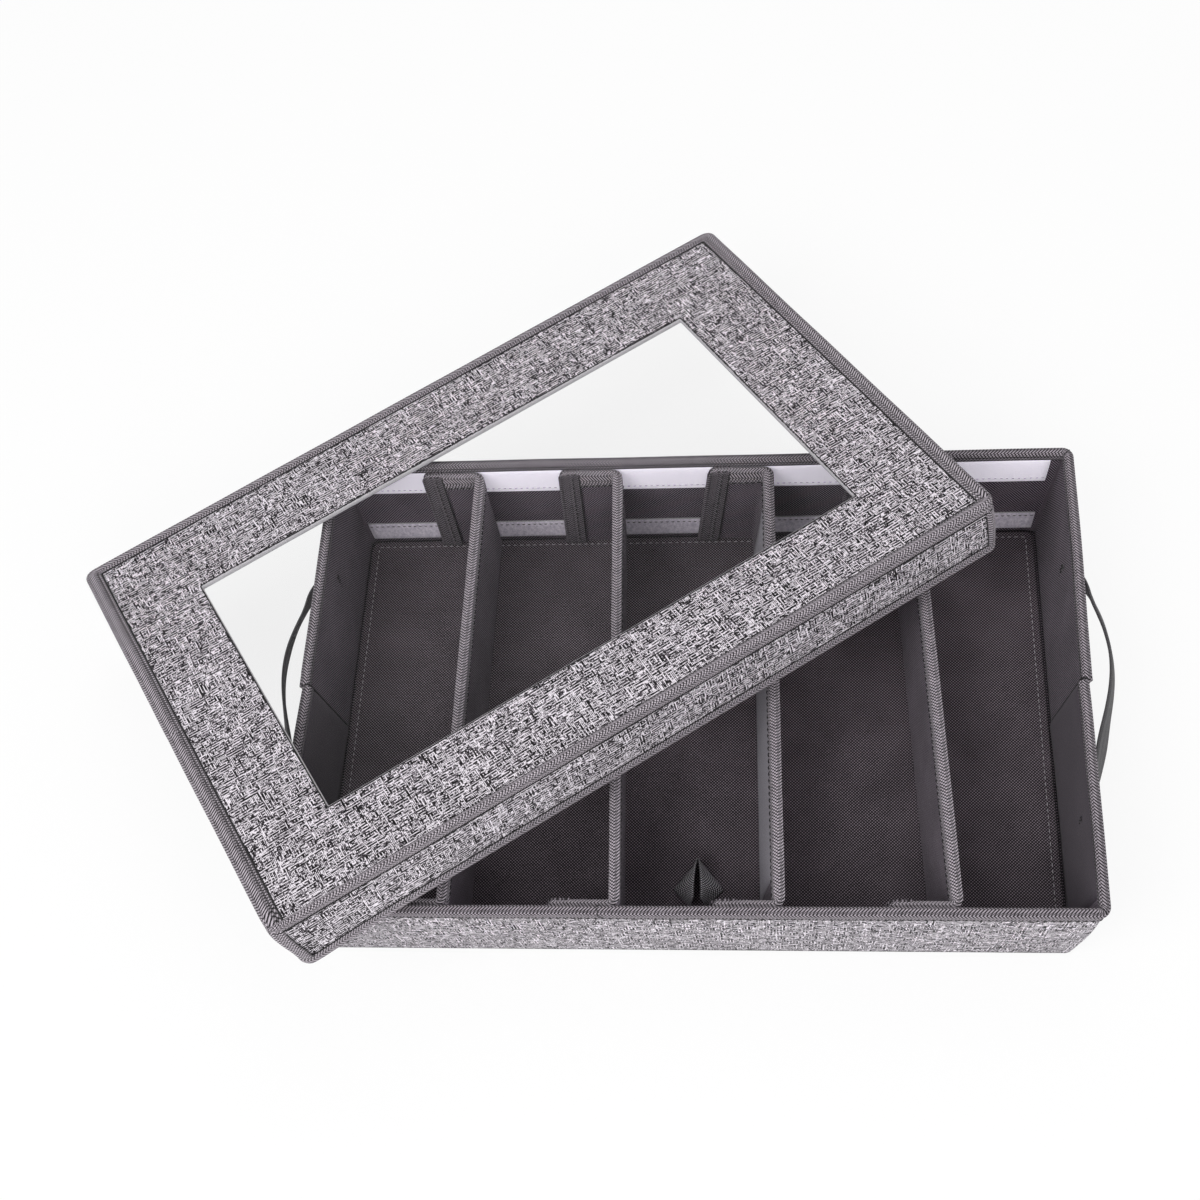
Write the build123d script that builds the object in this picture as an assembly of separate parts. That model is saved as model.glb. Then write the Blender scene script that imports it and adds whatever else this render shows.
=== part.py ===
from build123d import *
from math import acos, asin, atan2, cos, degrees, radians, sin, sqrt, tan
import os

# A soft-sided silverware chest: an open tub of board-stiffened cloth with four movable
# dividers, a loose floor board, a strap handle at each end, and a lift-off lid with a
# clear window, which lies askew across the rim. X runs left to right, Y front to back.
# The origin is the middle of the tub's underside. Every length is in millimetres.

# --- sizes of the tub ---
tub_width = 430.0           # over the rim, left to right
tub_depth = 285.0           # over the rim, front to back
tub_height = 74.0
wall_flare = 7.7            # each wall leans out by this much from foot to rim
tub_corner = 6.0            # radius of the tub's upright corners
rim_tape = 0.7              # woven tape folded over the rim
rim_tape_drop = 9.5         # how far that tape comes down the outside
rim_tape_inside = 5.0       # and the inside
cover_cloth = 0.7
wall_board = 2.0
lining_cloth = 0.7
fold_gap = 2.4              # gap between the two boards of an end wall, where it creases

# --- loose floor board in its cloth sleeve ---
insert_board = 1.6
sleeve_cloth = 0.7
insert_gap = 1.2            # clearance to the lining all round
insert_corner = 5.0
insert_hem = 4.0            # how far the sleeve stands past the board at its edge

# --- loop tapes sewn inside the front and back walls ---
loop_tape = 1.0
upper_loop_low = 51.0       # upper edge is just under the rim tape
loop_tape_gap = 0.3
loop_tape_end = 1.0         # from the tape's ends to the tub's rounded corners
lower_loop_low = 7.4
lower_loop_width = 14.6

# --- dividers, left to right: where each meets the front and the back wall ---
divider_front_x = [-124.0, -33.0, 52.0, 142.0]
divider_back_x = [-125.0, -43.0, 46.0, 128.0]
divider_lean = [-3.0, 2.0, 10.0, 9.0]   # how far each top stands to the right of its foot
divider_board = 4.2
divider_drop = 4.0          # top of a divider below the rim
divider_lift = 0.5          # clearance over the floor sleeve
divider_tape = 0.8
divider_tape_drop = 7.0
flange_board = 2.4
flange_width = 37.0
flange_tape_drop = 11.0     # tape down from a flange's top and in from its free edge
hook_tape = 0.8
hook_width = 26.0
hook_gap = 0.3              # between hook tape and loop tape

# --- strap handles ---
strap_width = 17.0
strap_thick = 1.8
strap_height = 48.0         # middle of the strap above the table
strap_far_y = 75.0          # where the strap comes out of the end wall at the back
strap_near_y = -80.0        # and at the front
strap_bow = 21.5            # how far its middle line stands off the wall
strap_bow_far_y = 46.0
strap_bow_near_y = 13.0
strap_far_radius = 55.0
strap_near_radius = 100.0
strap_root_radius = 11.0    # the sewn root stays inside this distance from the pivot line
strap_root_gap = 0.4

# --- pull loop of the floor board ---
ribbon_thick = 1.2
ribbon_width = 14.0
pull_x = 6.0
pull_from_lining = 17.4     # from the front wall's lining to the hinge line
pull_gap = 2.0              # between the hinge line and the loop's sewn end
pull_root_half = 4.5        # half width of the loop at its sewn end, on the floor
pull_foot_half = 12.5       # widest, on the floor
pull_foot_length = 27.0
pull_top_half = 4.4         # widest, along its upper edge
pull_top_root_half = 3.6
pull_top_length = 22.0
pull_widest = 0.48          # share of the length at which the loop is widest
pull_tab_width = 16.0
pull_tab_length = 9.0

# --- lid ---
lid_height = 41.0
lid_tape = 0.6
lid_cloth = 0.6
lid_panel_board = 1.4
lid_side_board = 1.5
lid_lining = 0.5
lid_play = 0.4              # between the rim and the lid's hem tape, each side
lid_corner = 6.0
lid_tape_face = 8.0         # width of tape seen on each face of the lid's top edge
lid_hem_face = 7.0          # and of its lower edge
window_sheet = 0.4
window_margin = 10.0        # the sheet laps behind the frame by this much
window_side_border = 56.0
window_front_border = 50.0
window_back_border = 57.0

# --- how the lid lies on the tub ---
lid_skew = 6.7              # degrees between the lid's length and its two feet on the rim
lid_foot_inset = 5.0        # left foot, from the tub's front-left corner
lid_corner_overhang = 47.0  # from the left foot to the lid's front-left corner
seat_gap = 0.3

# --- worked out from the sizes above ---
cover_inset = rim_tape
board_inset = cover_inset + cover_cloth
lining_inset = board_inset + wall_board
inside_inset = lining_inset + lining_cloth
loop_inset = inside_inset + loop_tape
hook_inset = loop_inset + hook_gap
flange_inset = hook_inset + hook_tape
panel_inset = flange_inset + flange_board
wall_top = tub_height - rim_tape
bottom_board_top = cover_cloth + wall_board
floor_lining_top = bottom_board_top + lining_cloth
insert_top = floor_lining_top + insert_board + 2 * sleeve_cloth
upper_loop_high = tub_height - rim_tape_inside - loop_tape_gap
lower_loop_high = lower_loop_low + lower_loop_width
divider_low = insert_top + divider_lift
wall_foot_depth = tub_depth / 2 - wall_flare * (1 - insert_top / tub_height)
pull_hinge_y = pull_from_lining + inside_inset - wall_foot_depth
divider_high = tub_height - divider_drop

lid_board_inset = lid_tape + lid_cloth
lid_lining_inset = lid_board_inset + lid_side_board
lid_inside_inset = lid_lining_inset + lid_lining
lid_hem_inset = lid_inside_inset + lid_tape
lid_length = tub_width + 2 * (lid_play + lid_hem_inset)
lid_depth = tub_depth + 2 * (lid_play + lid_hem_inset)
lid_cover_top = lid_height - lid_tape
lid_board_top = lid_cover_top - lid_cloth
lid_board_low = lid_board_top - lid_panel_board
lid_sheet_low = lid_board_low - window_sheet
lid_underside = lid_sheet_low - lid_lining

over = 1.0                  # extra length of a cutting block


def half_width(z):
    return tub_width / 2 - wall_flare * (1 - z / tub_height)


def half_depth(z):
    return tub_depth / 2 - wall_flare * (1 - z / tub_height)


def save(node, shape):
    export_step(shape, os.path.join("parts", node + ".step"))


def block(x_low, x_high, y_low, y_high, z_low, z_high):
    """Plain box between six faces."""
    middle = ((x_low + x_high) / 2, (y_low + y_high) / 2, (z_low + z_high) / 2)
    return Pos(*middle) * Box(x_high - x_low, y_high - y_low, z_high - z_low)


def group(solids):
    """Several separate solids kept in one node."""
    return Compound(children=solids)


# ---------------------------------------------------------------- tub
def tub_block(inset, z_low, z_high):
    """The tub's leaning outline, drawn in by an inset, as a solid."""
    corner = max(tub_corner - inset, 1.0)
    outlines = []
    for z in (z_low, z_high):
        width = 2 * (half_width(z) - inset)
        depth = 2 * (half_depth(z) - inset)
        outlines.append(Plane.XY.offset(z) * RectangleRounded(width, depth, corner))
    return loft(outlines)


def tub_ring(outer_inset, inner_inset, z_low, z_high):
    """A four-sided leaning wall between two insets."""
    return tub_block(outer_inset, z_low, z_high) - tub_block(inner_inset, z_low - over, z_high + over)


def leaning_quad_loft(corners_at, z_low, z_high):
    """A solid between the four-sided outlines that corners_at gives at two heights."""
    outlines = [Plane.XY.offset(z) * make_face(Polyline(*corners_at(z), close=True)) for z in (z_low, z_high)]
    return loft(outlines)


def long_wall_piece(outer_inset, inner_inset, z_low, z_high, side, end_gap):
    """A leaning strip of the front (side -1) or back (side +1) wall, short of the corners."""

    def corners_at(z):
        x_end = half_width(z) - tub_corner - end_gap
        y_out = side * (half_depth(z) - outer_inset)
        y_in = side * (half_depth(z) - inner_inset)
        return [(-x_end, y_out), (x_end, y_out), (x_end, y_in), (-x_end, y_in)]

    return leaning_quad_loft(corners_at, z_low, z_high)


def end_wall_board(side, part):
    """One board of an end wall: side -1 left, +1 right; part -1 front, +1 back of the crease."""

    def corners_at(z):
        x_out = side * (half_width(z) - board_inset)
        x_in = side * (half_width(z) - lining_inset)
        y_fold = part * fold_gap / 2
        y_end = part * (half_depth(z) - tub_corner)
        return [(x_out, y_fold), (x_out, y_end), (x_in, y_end), (x_in, y_fold)]

    return leaning_quad_loft(corners_at, cover_cloth, wall_top)


def rim_binding():
    """Woven tape folded over the rim, open underneath."""
    shell = tub_ring(0, inside_inset + rim_tape, tub_height - rim_tape_drop, tub_height)
    shell = fillet(shell.edges().group_by(Axis.Z)[-1], rim_tape * 1.3)
    shell -= tub_ring(cover_inset, inside_inset, 0, wall_top)
    return shell - tub_block(inside_inset, 0, tub_height - rim_tape_inside)


def tub_lining():
    """Lining of the four walls and the floor under the loose board."""
    walls = tub_ring(lining_inset, inside_inset, bottom_board_top, wall_top)
    floor = tub_block(lining_inset, bottom_board_top, floor_lining_top)
    return walls + floor


def floor_sleeve_and_board():
    """The loose floor board and the cloth sleeve sewn round it."""
    half_x = half_width(floor_lining_top) - inside_inset - insert_gap
    half_y = half_depth(floor_lining_top) - inside_inset - insert_gap
    outline = RectangleRounded(2 * half_x, 2 * half_y, insert_corner)
    sleeve = Pos(0, 0, floor_lining_top) * extrude(outline, insert_top - floor_lining_top)
    core = RectangleRounded(2 * (half_x - insert_hem), 2 * (half_y - insert_hem), insert_corner)
    inner = Pos(0, 0, floor_lining_top + sleeve_cloth) * extrude(core, insert_board)
    return sleeve - inner, inner


def make_tub():
    save("bottom_cover", tub_block(cover_inset, 0, cover_cloth))
    save("bottom_board", tub_block(lining_inset, cover_cloth, bottom_board_top))
    save("outer_cover", tub_ring(cover_inset, board_inset, cover_cloth, wall_top))
    for name, side in (("front", -1), ("back", 1)):
        save(name + "_wall_board", long_wall_piece(board_inset, lining_inset, cover_cloth, wall_top, side, 0))
        upper = long_wall_piece(inside_inset, loop_inset, upper_loop_low, upper_loop_high, side, loop_tape_end)
        lower = long_wall_piece(inside_inset, loop_inset, lower_loop_low, lower_loop_high, side, loop_tape_end)
        save("upper_loop_tape_" + name, upper)
        save("lower_loop_tape_" + name, lower)
    for name, side in (("left", -1), ("right", 1)):
        save(name + "_end_board_front", end_wall_board(side, -1))
        save(name + "_end_board_back", end_wall_board(side, 1))
    save("tub_lining", tub_lining())
    save("rim_binding", rim_binding())
    sleeve, inner = floor_sleeve_and_board()
    save("floor_sleeve", sleeve)
    save("floor_board", inner)


# ---------------------------------------------------------------- dividers
class Divider:
    """One leaning divider between the front and back walls, its flanges bent to the left."""

    def __init__(self, front_x, back_x, lean):
        self.front_x = front_x
        self.back_x = back_x
        self.lean = lean

    def line_x(self, y, z):
        """Middle of the board's thickness; front_x and back_x hold at its top."""
        along = (y + tub_depth / 2) / tub_depth
        below_top = (divider_high - z) / (divider_high - divider_low)
        return self.front_x + (self.back_x - self.front_x) * along - self.lean * below_top

    def panel(self, grow, inset, z_low, z_high):
        """The upright board, thickened by grow on both faces and ending at an inset of the walls."""
        half = divider_board / 2 + grow

        def corners_at(z):
            y = half_depth(z) - inset
            front = self.line_x(-y, z)
            back = self.line_x(y, z)
            return [(front - half, -y), (front + half, -y), (back + half, y), (back - half, y)]

        return leaning_quad_loft(corners_at, z_low, z_high)

    def wall_strip(self, side, outer_inset, inner_inset, z_low, z_high, from_end, width):
        """A leaning strip along one wall, measured leftwards from the panel's right face."""
        y_mid = side * (half_depth(tub_height / 2) - flange_inset)

        def corners_at(z):
            right = self.line_x(y_mid, z) + divider_board / 2 - from_end
            y_out = side * (half_depth(z) - outer_inset)
            y_in = side * (half_depth(z) - inner_inset)
            return [(right - width, y_out), (right, y_out), (right, y_in), (right - width, y_in)]

        return leaning_quad_loft(corners_at, z_low, z_high)

    def flange(self, side):
        return self.wall_strip(side, flange_inset, panel_inset, divider_low, divider_high, 0, flange_width)

    def hooks(self, side):
        edge = (flange_width - hook_width) / 2
        low = divider_low + divider_tape_drop / 2
        high = divider_high - divider_tape_drop
        return self.wall_strip(side, hook_inset, flange_inset, low, high, edge, hook_width)

    def binding(self):
        """Tape over the top edges, and down the free edge of each flange."""
        high = divider_high + divider_tape
        tape = self.panel(divider_tape, flange_inset, divider_high - divider_tape_drop, high)
        low = divider_high - flange_tape_drop
        whole = flange_width + 2 * divider_tape
        edge = flange_tape_drop + divider_tape
        edge_start = flange_width - flange_tape_drop
        for side in (-1, 1):
            outer = flange_inset - divider_tape
            inner = panel_inset + divider_tape
            tape += self.wall_strip(side, outer, inner, low, high, -divider_tape, whole)
            tape += self.wall_strip(side, outer, inner, divider_low, high, edge_start, edge)
        tape -= self.panel(0, flange_inset, divider_low - over, divider_high)
        for side in (-1, 1):
            tape -= self.wall_strip(
                side, flange_inset, panel_inset, divider_low - over, divider_high, 0, flange_width
            )
            tape -= self.hooks(side)
        return tape


def make_dividers():
    places = zip(divider_front_x, divider_back_x, divider_lean)
    for number, place in enumerate(places, start=1):
        divider = Divider(*place)
        name = "divider_" + str(number)
        save(name + "_panel", divider.panel(0, panel_inset, divider_low, divider_high))
        save(name + "_front_flange", divider.flange(-1))
        save(name + "_back_flange", divider.flange(1))
        save(name + "_hook_tapes", group([divider.hooks(-1), divider.hooks(1)]))
        save(name + "_binding", divider.binding())


# ---------------------------------------------------------------- handles
def strap_solid(side):
    """The whole strap, standing on edge and bowed out from an end wall."""
    wall_x = half_width(strap_height)
    deep = wall_board
    points = [
        (-deep, strap_far_y),
        (strap_bow, strap_bow_far_y),
        (strap_bow, strap_bow_near_y),
        (-deep, strap_near_y),
    ]
    path = FilletPolyline(*points, radius=[strap_far_radius, strap_near_radius])
    band = extrude(trace(path, strap_thick), strap_width)
    band = Pos(wall_x, 0, strap_height - strap_width / 2) * band
    if side < 0:
        band = mirror(band, about=Plane.YZ)
    return band


def pivot_cylinder(side, radius):
    centre = Pos(side * half_width(strap_height), 0, strap_height)
    return centre * Rot(90, 0, 0) * Cylinder(radius, tub_depth)


def make_handles():
    for name, side in (("left", -1), ("right", 1)):
        strap = strap_solid(side)
        roots = (strap & pivot_cylinder(side, strap_root_radius)) - tub_block(cover_inset, 0, tub_height)
        save(name + "_handle_roots", group(list(roots.solids())))
        save(name + "_handle_strap", strap - pivot_cylinder(side, strap_root_radius + strap_root_gap))


# ---------------------------------------------------------------- pull loop
def pull_outline(root_half, widest_half, length, trim, z):
    """Leaf-shaped outline of the loop at one height, drawn in by trim."""
    start = pull_hinge_y + pull_gap
    points = [
        (-root_half, start),
        (-widest_half, start + length * pull_widest),
        (0, start + length),
        (widest_half, start + length * pull_widest),
        (root_half, start),
    ]
    face = make_face(Polyline(*points, close=True))
    if trim:
        face = offset(face, -trim, kind=Kind.INTERSECTION)
    return Pos(pull_x, 0, z) * face


def make_pull_loop():
    low = insert_top + seat_gap
    high = low + ribbon_width
    walls = []
    for trim in (0, ribbon_thick):
        foot = pull_outline(pull_root_half, pull_foot_half, pull_foot_length, trim, low)
        top = pull_outline(pull_top_root_half, pull_top_half, pull_top_length, trim, high)
        walls.append(loft([foot, top]))
    save("pull_loop", walls[0] - walls[1])
    x_ends = (pull_x - pull_tab_width / 2, pull_x + pull_tab_width / 2)
    y_ends = (pull_hinge_y - pull_tab_length, pull_hinge_y)
    save("pull_loop_tab", block(*x_ends, *y_ends, insert_top, insert_top + ribbon_thick))


# ---------------------------------------------------------------- lid
def lid_block(inset, z_low, z_high):
    corner = max(lid_corner - inset, 1.0)
    outline = RectangleRounded(lid_length - 2 * inset, lid_depth - 2 * inset, corner)
    return Pos(0, 0, z_low) * extrude(outline, z_high - z_low)


def lid_ring(outer_inset, inner_inset, z_low, z_high):
    return lid_block(outer_inset, z_low, z_high) - lid_block(inner_inset, z_low - over, z_high + over)


def window_cut(grow, z_low, z_high):
    """A block through the window opening, grown on all four sides."""
    x_end = lid_length / 2 - window_side_border + grow
    y_front = -lid_depth / 2 + window_front_border - grow
    y_back = lid_depth / 2 - window_back_border + grow
    return block(-x_end, x_end, y_front, y_back, z_low, z_high)


def lid_side_boards():
    """The four stiffeners of the lid's sides, which stop short of its corners."""
    ring = lid_ring(lid_board_inset, lid_lining_inset, lid_tape, lid_board_low)
    half_x = lid_length / 2
    half_y = lid_depth / 2
    boards = {}
    for name, side in (("front", -1), ("back", 1)):
        y_ends = sorted((side * half_y * 0.5, side * half_y))
        reach = half_x - lid_corner
        boards[name] = ring & block(-reach, reach, *y_ends, 0, lid_height)
    for name, side in (("left", -1), ("right", 1)):
        x_ends = sorted((side * half_x * 0.5, side * half_x))
        reach = half_y - lid_corner
        boards[name] = ring & block(*x_ends, -reach, reach, 0, lid_height)
    return boards


def lid_top_binding():
    """Tape rolled over the lid's top edge: a band on the top and one on the sides."""
    shell = lid_block(0, lid_height - lid_tape_face, lid_height)
    shell = fillet(shell.edges().group_by(Axis.Z)[-1], lid_tape * 1.5)
    shell -= lid_block(lid_tape_face, 0, lid_height + over)
    return shell - lid_block(lid_tape, 0, lid_cover_top)


def lid_hem_binding():
    """Tape folded round the lower edge of the lid's sides."""
    shell = lid_ring(0, lid_hem_inset, 0, lid_hem_face)
    return shell - lid_ring(lid_tape, lid_inside_inset, lid_tape, lid_height)


def lid_corner_tapes():
    """Upright tapes over the lid's four corner seams."""
    ring = lid_ring(0, lid_tape, lid_hem_face, lid_height - lid_tape_face)
    tapes = []
    for x_side in (-1, 1):
        for y_side in (-1, 1):
            x_ends = sorted((x_side * lid_length / 2, x_side * (lid_length / 2 - lid_tape_face)))
            y_ends = sorted((y_side * lid_depth / 2, y_side * (lid_depth / 2 - lid_tape_face)))
            tapes.append(ring & block(*x_ends, *y_ends, 0, lid_height))
    return group(tapes)


def lid_plane():
    """Where the lid lies: two feet on the rim and its underside on the tub's back-left corner."""
    left_foot = Vector(-tub_width / 2, -tub_depth / 2 + lid_foot_inset, tub_height + seat_gap)
    clear_length = lid_length - 2 * lid_hem_inset
    foot_span = clear_length / cos(radians(lid_skew))
    y_step = tub_depth - lid_foot_inset
    foot_line = Vector(sqrt(foot_span**2 - y_step**2), y_step, 0).normalized()
    sideways = Vector(-foot_line.Y, foot_line.X, 0)
    prop = Vector(-tub_width / 2, tub_depth / 2, tub_height + seat_gap)
    tilt = asin(lid_underside / (prop - left_foot).dot(sideways))
    downhill = sideways * cos(tilt) - Vector(0, 0, 1) * sin(tilt)
    normal = foot_line.cross(downhill)
    along = foot_line * cos(radians(lid_skew)) - downhill * sin(radians(lid_skew))
    across = normal.cross(along)
    centre = left_foot + along * (clear_length / 2) + across * (lid_depth / 2 - lid_corner_overhang)
    print("lid centre", centre, "tilt", degrees(tilt), "yaw", degrees(atan2(along.Y, along.X)))
    print("right foot", left_foot + foot_line * foot_span)
    return Plane(origin=centre, x_dir=along, z_dir=normal)


def make_lid():
    seat = lid_plane()
    whole = lid_height + over
    cover = lid_block(lid_tape, lid_tape, lid_cover_top) - lid_block(lid_board_inset, 0, lid_board_top)
    under = lid_block(lid_lining_inset, lid_tape, lid_sheet_low) - lid_block(lid_inside_inset, 0, lid_underside)
    pieces = {
        "lid_cover": cover - window_cut(0, 0, whole),
        "lid_panel_board": lid_block(lid_board_inset, lid_board_low, lid_board_top) - window_cut(0, 0, whole),
        "lid_window_sheet": window_cut(window_margin, lid_sheet_low, lid_board_low),
        "lid_lining": under - window_cut(0, 0, whole),
        "lid_top_binding": lid_top_binding(),
        "lid_hem_binding": lid_hem_binding(),
        "lid_corner_tapes": lid_corner_tapes(),
    }
    for name, piece in lid_side_boards().items():
        pieces["lid_" + name + "_board"] = piece
    for name, piece in pieces.items():
        save(name, seat.location * piece)


make_tub()
make_dividers()
make_handles()
make_pull_loop()
make_lid()
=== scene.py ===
import math

import bmesh
import bpy
import numpy as np
from mathutils import Matrix, Vector


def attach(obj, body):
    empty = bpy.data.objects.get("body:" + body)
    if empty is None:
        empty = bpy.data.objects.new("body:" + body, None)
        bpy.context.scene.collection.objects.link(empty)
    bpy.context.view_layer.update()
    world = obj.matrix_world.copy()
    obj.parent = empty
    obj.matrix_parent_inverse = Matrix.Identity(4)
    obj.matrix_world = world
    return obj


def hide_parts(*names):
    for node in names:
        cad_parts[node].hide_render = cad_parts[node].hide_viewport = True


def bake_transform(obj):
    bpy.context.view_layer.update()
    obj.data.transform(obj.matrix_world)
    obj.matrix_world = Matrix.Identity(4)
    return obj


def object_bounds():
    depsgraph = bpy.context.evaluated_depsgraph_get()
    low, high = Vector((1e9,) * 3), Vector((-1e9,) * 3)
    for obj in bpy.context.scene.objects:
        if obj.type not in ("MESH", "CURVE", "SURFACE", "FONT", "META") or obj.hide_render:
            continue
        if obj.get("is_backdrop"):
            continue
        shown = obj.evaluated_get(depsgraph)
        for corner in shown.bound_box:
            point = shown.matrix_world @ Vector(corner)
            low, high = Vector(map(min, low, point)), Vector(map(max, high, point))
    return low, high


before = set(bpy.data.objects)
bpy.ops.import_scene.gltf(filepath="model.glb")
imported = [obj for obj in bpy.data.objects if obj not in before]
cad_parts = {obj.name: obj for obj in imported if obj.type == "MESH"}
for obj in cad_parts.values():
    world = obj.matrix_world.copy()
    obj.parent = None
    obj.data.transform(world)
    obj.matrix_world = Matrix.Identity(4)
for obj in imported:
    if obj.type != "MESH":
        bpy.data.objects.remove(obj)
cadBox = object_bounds()
millimetre = 0.001
print("frame loaded")

# sizes shared by the pieces, in millimetres
tub = dict(width=430.0, depth=285.0, height=74.0, flare=7.7, corner=6.0)
lid = dict(
    length=438.4, depth=293.4, height=41.0, corner=6.0, inset=3.8, underside=37.5,
    skew=6.7, footInset=5.0, overhang=47.0, seatGap=0.3,
)
dividers = dict(
    frontX=[-124.0, -33.0, 52.0, 142.0], backX=[-125.0, -43.0, 46.0, 128.0], lean=[-3.0, 2.0, 10.0, 9.0],
    board=4.2, tape=0.8, low=6.9, high=70.0, flange=2.4, flangeWidth=37.0, flangeInset=6.2,
)
upward = np.array([0.0, 0.0, 1.0])


def column(x, y, z):
    # points from coordinates given singly or as matching arrays
    return np.stack(np.broadcast_arrays(x, y, z), -1).astype(float)


def spread(along, across):
    return np.stack(np.meshgrid(along, across, indexing="ij"), 2)


def planLengths(rings):
    # a flat piece that runs right round is measured on its own plan
    return np.concatenate([rings, rings[:1]])[:, :, :2]


def smooth(value, low, high):
    share = np.clip((np.asarray(value, float) - low) / (high - low), 0.0, 1.0)
    return share * share * (3 - 2 * share)


def wave(x, y, seed):
    # slow unevenness of sewn cloth, between -1 and 1
    first = np.sin(x * 0.031 + seed * 1.7 + 1.3 * np.sin(y * 0.023 + seed)) * np.cos(y * 0.037 - seed * 0.9)
    second = np.sin(x * 0.071 + y * 0.053 + seed * 2.3)
    return 0.6 * first + 0.4 * second


def runLength(points):
    steps = np.linalg.norm(np.diff(points, axis=0), axis=1)
    return np.concatenate([[0.0], np.cumsum(steps)])


def directions(line):
    along = np.gradient(line, axis=0)
    return along / np.maximum(np.linalg.norm(along, axis=1), 1e-9)[:, None]


def addPiece(name, points, faces, look, turn):
    mesh = bpy.data.meshes.new(name)
    points = points if turn is None else turn(points)
    mesh.from_pydata((points * millimetre).tolist(), [], faces)
    mesh.polygons.foreach_set("use_smooth", [True] * len(mesh.polygons))
    mesh.materials.append(looks[look])
    piece = bpy.data.objects.new(name, mesh)
    bpy.context.scene.collection.objects.link(piece)
    return piece


class ClothMesh:
    # gathers grids of points into one piece, with a length map in millimetres for the weave
    def __init__(self):
        self.points, self.faces, self.lengths = [], [], []
        self.count = 0

    def grid(self, points, lengths, closedAlong=False, closedAcross=False):
        points, lengths = np.asarray(points, float), np.asarray(lengths, float)
        along, across = points.shape[:2]
        self.points.append(points.reshape(-1, 3))
        stops = np.arange(along if closedAlong else along - 1), np.arange(across if closedAcross else across - 1)
        i, j = (index.ravel() for index in np.meshgrid(*stops, indexing="ij"))
        nextI, nextJ = (i + 1) % along, (j + 1) % across
        quads = np.stack([i * across + j, nextI * across + j, nextI * across + nextJ, i * across + nextJ], 1)
        self.faces.append(quads + self.count)
        self.lengths.append(np.stack([lengths[i, j], lengths[i + 1, j], lengths[i + 1, j + 1], lengths[i, j + 1]], 1))
        self.count += along * across

    def slab(self, outer, inner, lengths, closed=False):
        # a thin closed piece between two matching grids; its ends are closed by strips when it is open
        outer, inner, lengths = np.asarray(outer, float), np.asarray(inner, float), np.asarray(lengths, float)
        loop = np.concatenate([outer, inner[:, ::-1]], 1)
        loopLengths = np.concatenate([lengths, lengths[:, ::-1], lengths[:, :1]], 1)
        self.grid(loop, loopLengths, closedAlong=closed, closedAcross=True)
        if not closed:
            for end in (0, -1):
                self.grid(np.stack([outer[end], inner[end]], 1), np.stack([lengths[end], lengths[end]], 1))

    def disc(self, rings):
        # a flat piece of concentric rings, the last one drawn together at the middle
        lengths = planLengths(rings)
        self.grid(rings, lengths, closedAlong=True)
        number, across = rings.shape[:2]
        hub = self.count
        last = hub - number * across + np.arange(number) * across + across - 1
        self.points.append(rings[:, -1].mean(0)[None])
        self.faces.append(np.stack([last, np.roll(last, -1), np.full(number, hub)], 1))
        ends = lengths[:-1, -1]
        middle = np.repeat(ends.mean(0)[None], number, 0)
        self.lengths.append(np.stack([ends, np.roll(ends, -1, 0), middle], 1))
        self.count += 1

    def build(self, name, look, turn=None):
        faces = [face for group in self.faces for face in group.tolist()]
        piece = addPiece(name, np.concatenate(self.points), faces, look, turn)
        layer = piece.data.uv_layers.new(name="clothLengths")
        lengths = np.concatenate([group.reshape(-1, 2) for group in self.lengths])
        layer.data.foreach_set("uv", lengths.astype(np.float32).ravel())
        form = bmesh.new()
        form.from_mesh(piece.data)
        bmesh.ops.remove_doubles(form, verts=form.verts, dist=1e-6)
        bmesh.ops.recalc_face_normals(form, faces=form.faces)
        form.to_mesh(piece.data)
        form.free()
        return piece


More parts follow.
